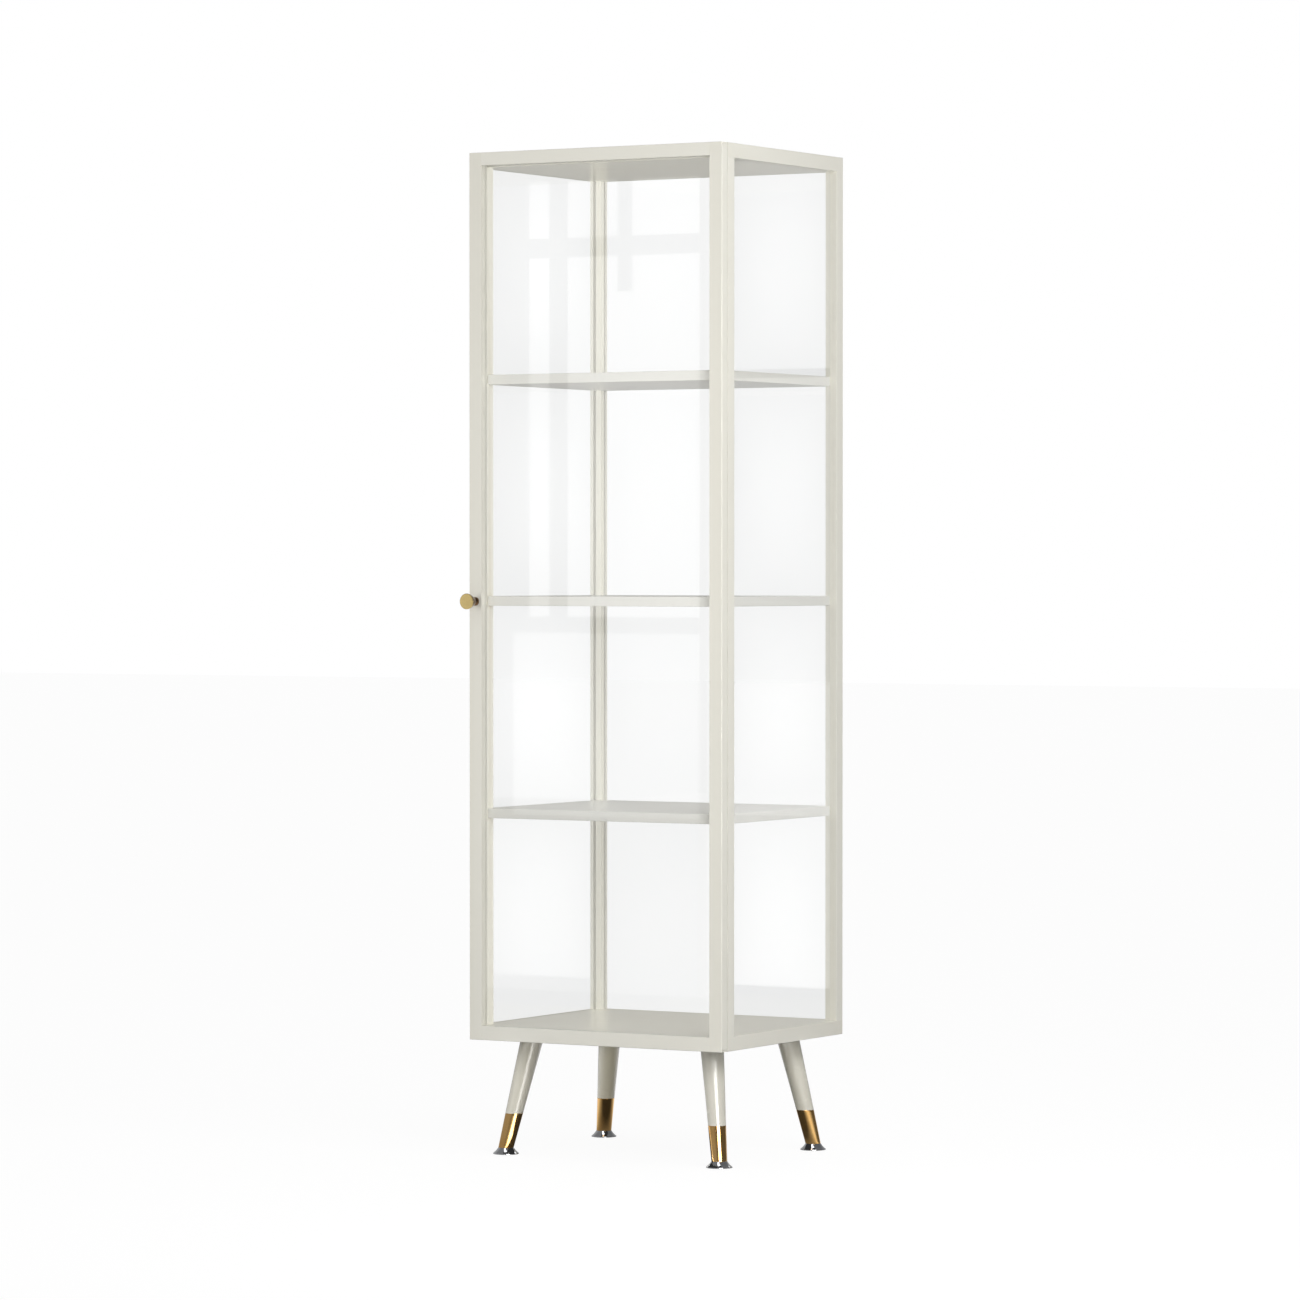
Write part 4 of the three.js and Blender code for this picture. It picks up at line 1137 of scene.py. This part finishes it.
def add_card(name, corners, glow, edge_glow=None, seen_in=()):
    """A glowing panel that only mirrors show. With edge_glow it fades from its middle to its edges. With
    seen_in it is clear, and only the pieces whose names start with one of those show its glow."""
    card = sheet(name, corners)
    material, tree, surface = bare_material(name)
    emission = tree.nodes.new("ShaderNodeEmission")
    emission.inputs["Strength"].default_value = glow
    if edge_glow is not None:
        parts = parts_of(tree, tree.nodes.new("ShaderNodeTexCoord").outputs["Generated"])
        middle = combined(tree, "MULTIPLY", hill(tree, parts["X"]), hill(tree, parts["Z"]))
        tree.links.new(spread(tree, middle, edge_glow, glow, 0, 1), emission.inputs["Strength"])
    if seen_in:
        clear = tree.nodes.new("ShaderNodeBsdfTransparent")
        both = tree.nodes.new("ShaderNodeAddShader")
        tree.links.new(emission.outputs["Emission"], both.inputs[0])
        tree.links.new(clear.outputs["BSDF"], both.inputs[1])
        tree.links.new(both.outputs["Shader"], surface)
        lights_only(card, seen_in)
    else:
        tree.links.new(emission.outputs["Emission"], surface)
    card.data.materials.append(material)
    for rays in ("camera", "diffuse", "transmission", "shadow"):
        setattr(card, "visible_" + rays, False)


def hill(tree, along):
    """A value that rises from 0 to 1 and falls back to 0 as along runs from 0 to 1."""
    rest = combined(tree, "SUBTRACT", 1, along)
    return combined(tree, "MULTIPLY", combined(tree, "MULTIPLY", along, rest), 4)


def mirrored_place(axis, mirror, point, card_y):
    """Where the camera's line to a point of a pane ends, once mirrored, on the upright plane at card_y."""
    ghost = camera_place()
    ghost[axis] = 2 * mirror - ghost[axis]
    reach = (card_y - ghost.y) / (point[1] - ghost.y)
    return ghost + (Vector(point) - ghost) * reach


def card_behind(pane, axis, mirror, low, high, card_y, glow, edge_glow=None):
    """A card that shows in one pane over the rectangle from low to high. Both have X, Y and Z."""
    first = mirrored_place(axis, mirror, low, card_y)
    last = mirrored_place(axis, mirror, high, card_y)
    corners = [
        (first.x, card_y, first.z), (last.x, card_y, first.z),
        (last.x, card_y, last.z), (first.x, card_y, last.z),
    ]
    add_card("reflected_in_" + pane, corners, glow, edge_glow, (pane,))


def add_reflections():
    """What the panes mirror: a window and soft glows front left, and soft glows behind to the right."""
    door_y = middle_of("door_glass").y
    for left, right, bottom, top, glow in WINDOWS:
        low, high = (left, door_y, bottom), (right, door_y, top)
        card_behind("door_glass", 1, door_y, low, high, -WINDOW_DEPTH, glow)
    low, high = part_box("knob")
    around = Vector((KNOB_GLOW_REACH, 0, KNOB_GLOW_REACH))
    high.y = low.y
    card_behind("knob", 1, low.y, low - around, high + around, -ROOM_DEPTH, KNOB_GLOW)

    front_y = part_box("post_front_right")[1].y
    rear_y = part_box("post_rear_right")[0].y
    levels = [CASE_HIGH.z, *sorted(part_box(shelf)[1].z for shelf in SHELF_PIECES), TOP_Z]
    for bottom, top, door_glows in zip(levels, levels[1:], DOOR_GLOWS):
        for left, right in DOOR_COLUMNS:
            low, high = (left, door_y, bottom), (right, door_y, top)
            card_behind("door_glass", 1, door_y, low, high, -ROOM_DEPTH, *door_glows)
        for pane, glows in SIDE_GLOWS.items():
            side_x = middle_of(pane).x
            low, high = (side_x, front_y, bottom), (side_x, rear_y, top)
            card_behind(pane, 0, side_x, low, high, ROOM_DEPTH, *glows)


def add_highlights():
    """What the legs, the brass and the chrome mirror: a tall bright strip front right, its streak on the
    floor, and a dark flag under the cabinet, a painted shade that mirrors see in place of the underside,
    with a small light for each foot."""
    across = Vector((-STRIP_PLACE.y, STRIP_PLACE.x, 0)).normalized() * STRIP_WIDTH / 2
    corners = []
    for side, z in ((-1, STRIP_BOTTOM), (1, STRIP_BOTTOM), (1, STRIP_TOP), (-1, STRIP_TOP)):
        corners.append(tuple(STRIP_PLACE + across * side + Vector((0, 0, z))))
    add_card("strip", corners, STRIP_GLOW, seen_in=STRIP_PIECES)

    start = Vector((*foot_centre("front_left"), 0)) + STREAK_START
    end = STRIP_PLACE * STREAK_END + Vector((0, 0, MM))
    near, far = (across * width for width in STREAK_WIDTHS)
    corners = [tuple(start - near), tuple(start + near), tuple(end + far), tuple(end - far)]
    add_card("streak", corners, STREAK_GLOW, seen_in=STRIP_PIECES)

    # painted shade: the flag, a near-black card just below the underside, shows in mirrors in its place
    half = (CASE_HIGH - CASE_LOW) / 2
    corners = level_corners(middle_of("bottom_panel"), half, UNDERSIDE_Z - FLAG_DROP)
    add_card("flag", corners, FLAG_GLOW)
    for corner in CORNERS:
        x, y = foot_centre(corner)
        place = (x + GLINT_REACH[0], y + GLINT_REACH[1])
        corners = level_corners(place, GLINT_HALF_SIZE, UNDERSIDE_Z - GLINT_DROP)
        add_card("glint", corners, GLINT_GLOW)


def add_floor():
    floor = sheet("studio_floor", level_corners((0, 0), (FLOOR_REACH, FLOOR_REACH), 0))
    material, tree, shader = new_material("pale_floor")
    place = object_place(tree)
    length = tree.nodes.new("ShaderNodeVectorMath")
    length.operation = "LENGTH"
    tree.links.new(place, length.inputs[0])
    open_floor = spread(tree, length.outputs["Value"], 0, 1, SHADE_START, SHADE_END)
    tone = blended(tree, noise(tree, place, 6, 2), *FLOOR_TONES)
    # painted shadow: darker under the cabinet for all rays but the camera's, and no glow in mirrors there
    shaded = blended(tree, open_floor, (FLOOR_SHADE,) * 3, tone)
    path = tree.nodes.new("ShaderNodeLightPath")
    shown = blended(tree, path.outputs["Is Camera Ray"], shaded, (FLOOR_SEEN,) * 3)
    tree.links.new(shown, shader.inputs["Base Color"])
    shader.inputs["Roughness"].default_value = 0.9
    shader.inputs["Specular IOR Level"].default_value = 0.1
    shader.inputs["Emission Color"].default_value = (1, 1, 1, 1)
    to_camera = combined(tree, "MULTIPLY", path.outputs["Is Camera Ray"], FLOOR_GLOW)
    to_mirror = combined(tree, "MULTIPLY", path.outputs["Is Glossy Ray"], FLOOR_IN_MIRRORS)
    far = spread(tree, length.outputs["Value"], 1, FAR_FLOOR, FAR_START, FAR_END)
    mirrored = combined(tree, "MULTIPLY", to_mirror, combined(tree, "MULTIPLY", open_floor, far))
    glow = combined(tree, "ADD", to_camera, mirrored)
    tree.links.new(glow, shader.inputs["Emission Strength"])
    floor.data.materials.append(material)


def background(tree, colour):
    """Even light from all around. The colour is a socket or three numbers."""
    node = tree.nodes.new("ShaderNodeBackground")
    if isinstance(colour, tuple):
        node.inputs["Color"].default_value = (*colour, 1)
    else:
        tree.links.new(colour, node.inputs["Color"])
    return node.outputs["Background"]


def add_world():
    """A white backdrop for the camera, even light for the cabinet, and a dim room in its mirrors."""
    world = bpy.data.worlds.new("studio")
    bpy.context.scene.world = world
    world.use_nodes = True
    tree = world.node_tree
    tree.nodes.clear()
    direction = parts_of(tree, tree.nodes.new("ShaderNodeTexCoord").outputs["Generated"])
    leftward = spread(tree, direction["X"], 1, 0, *LIGHT_WALL)
    low = spread(tree, direction["Z"], 1, LIGHT_WALL_REST, *LIGHT_WALL_TOP)
    share = combined(tree, "MULTIPLY", leftward, low)
    mirrored = blended(tree, share, *MIRRORED_ROOM)
    path = tree.nodes.new("ShaderNodeLightPath")
    room = chosen(
        tree, path.outputs["Is Glossy Ray"],
        background(tree, (ROOM_LIGHT,) * 3), background(tree, mirrored),
    )
    seen = chosen(tree, path.outputs["Is Camera Ray"], room, background(tree, (1.0, 1.0, 1.0)))
    output = tree.nodes.new("ShaderNodeOutputWorld")
    tree.links.new(seen, output.inputs["Surface"])


add_camera()
add_floor()
add_world()
add_reflections()
add_highlights()
for softbox in SOFTBOXES:
    add_softbox(*softbox)
for softbox in INSIDE_LIGHTS:
    linking = add_softbox(*softbox).light_linking
    linking.blocker_collection = linking.receiver_collection

view = bpy.context.scene.view_settings
view.view_transform = "Standard"
view.look = "None"
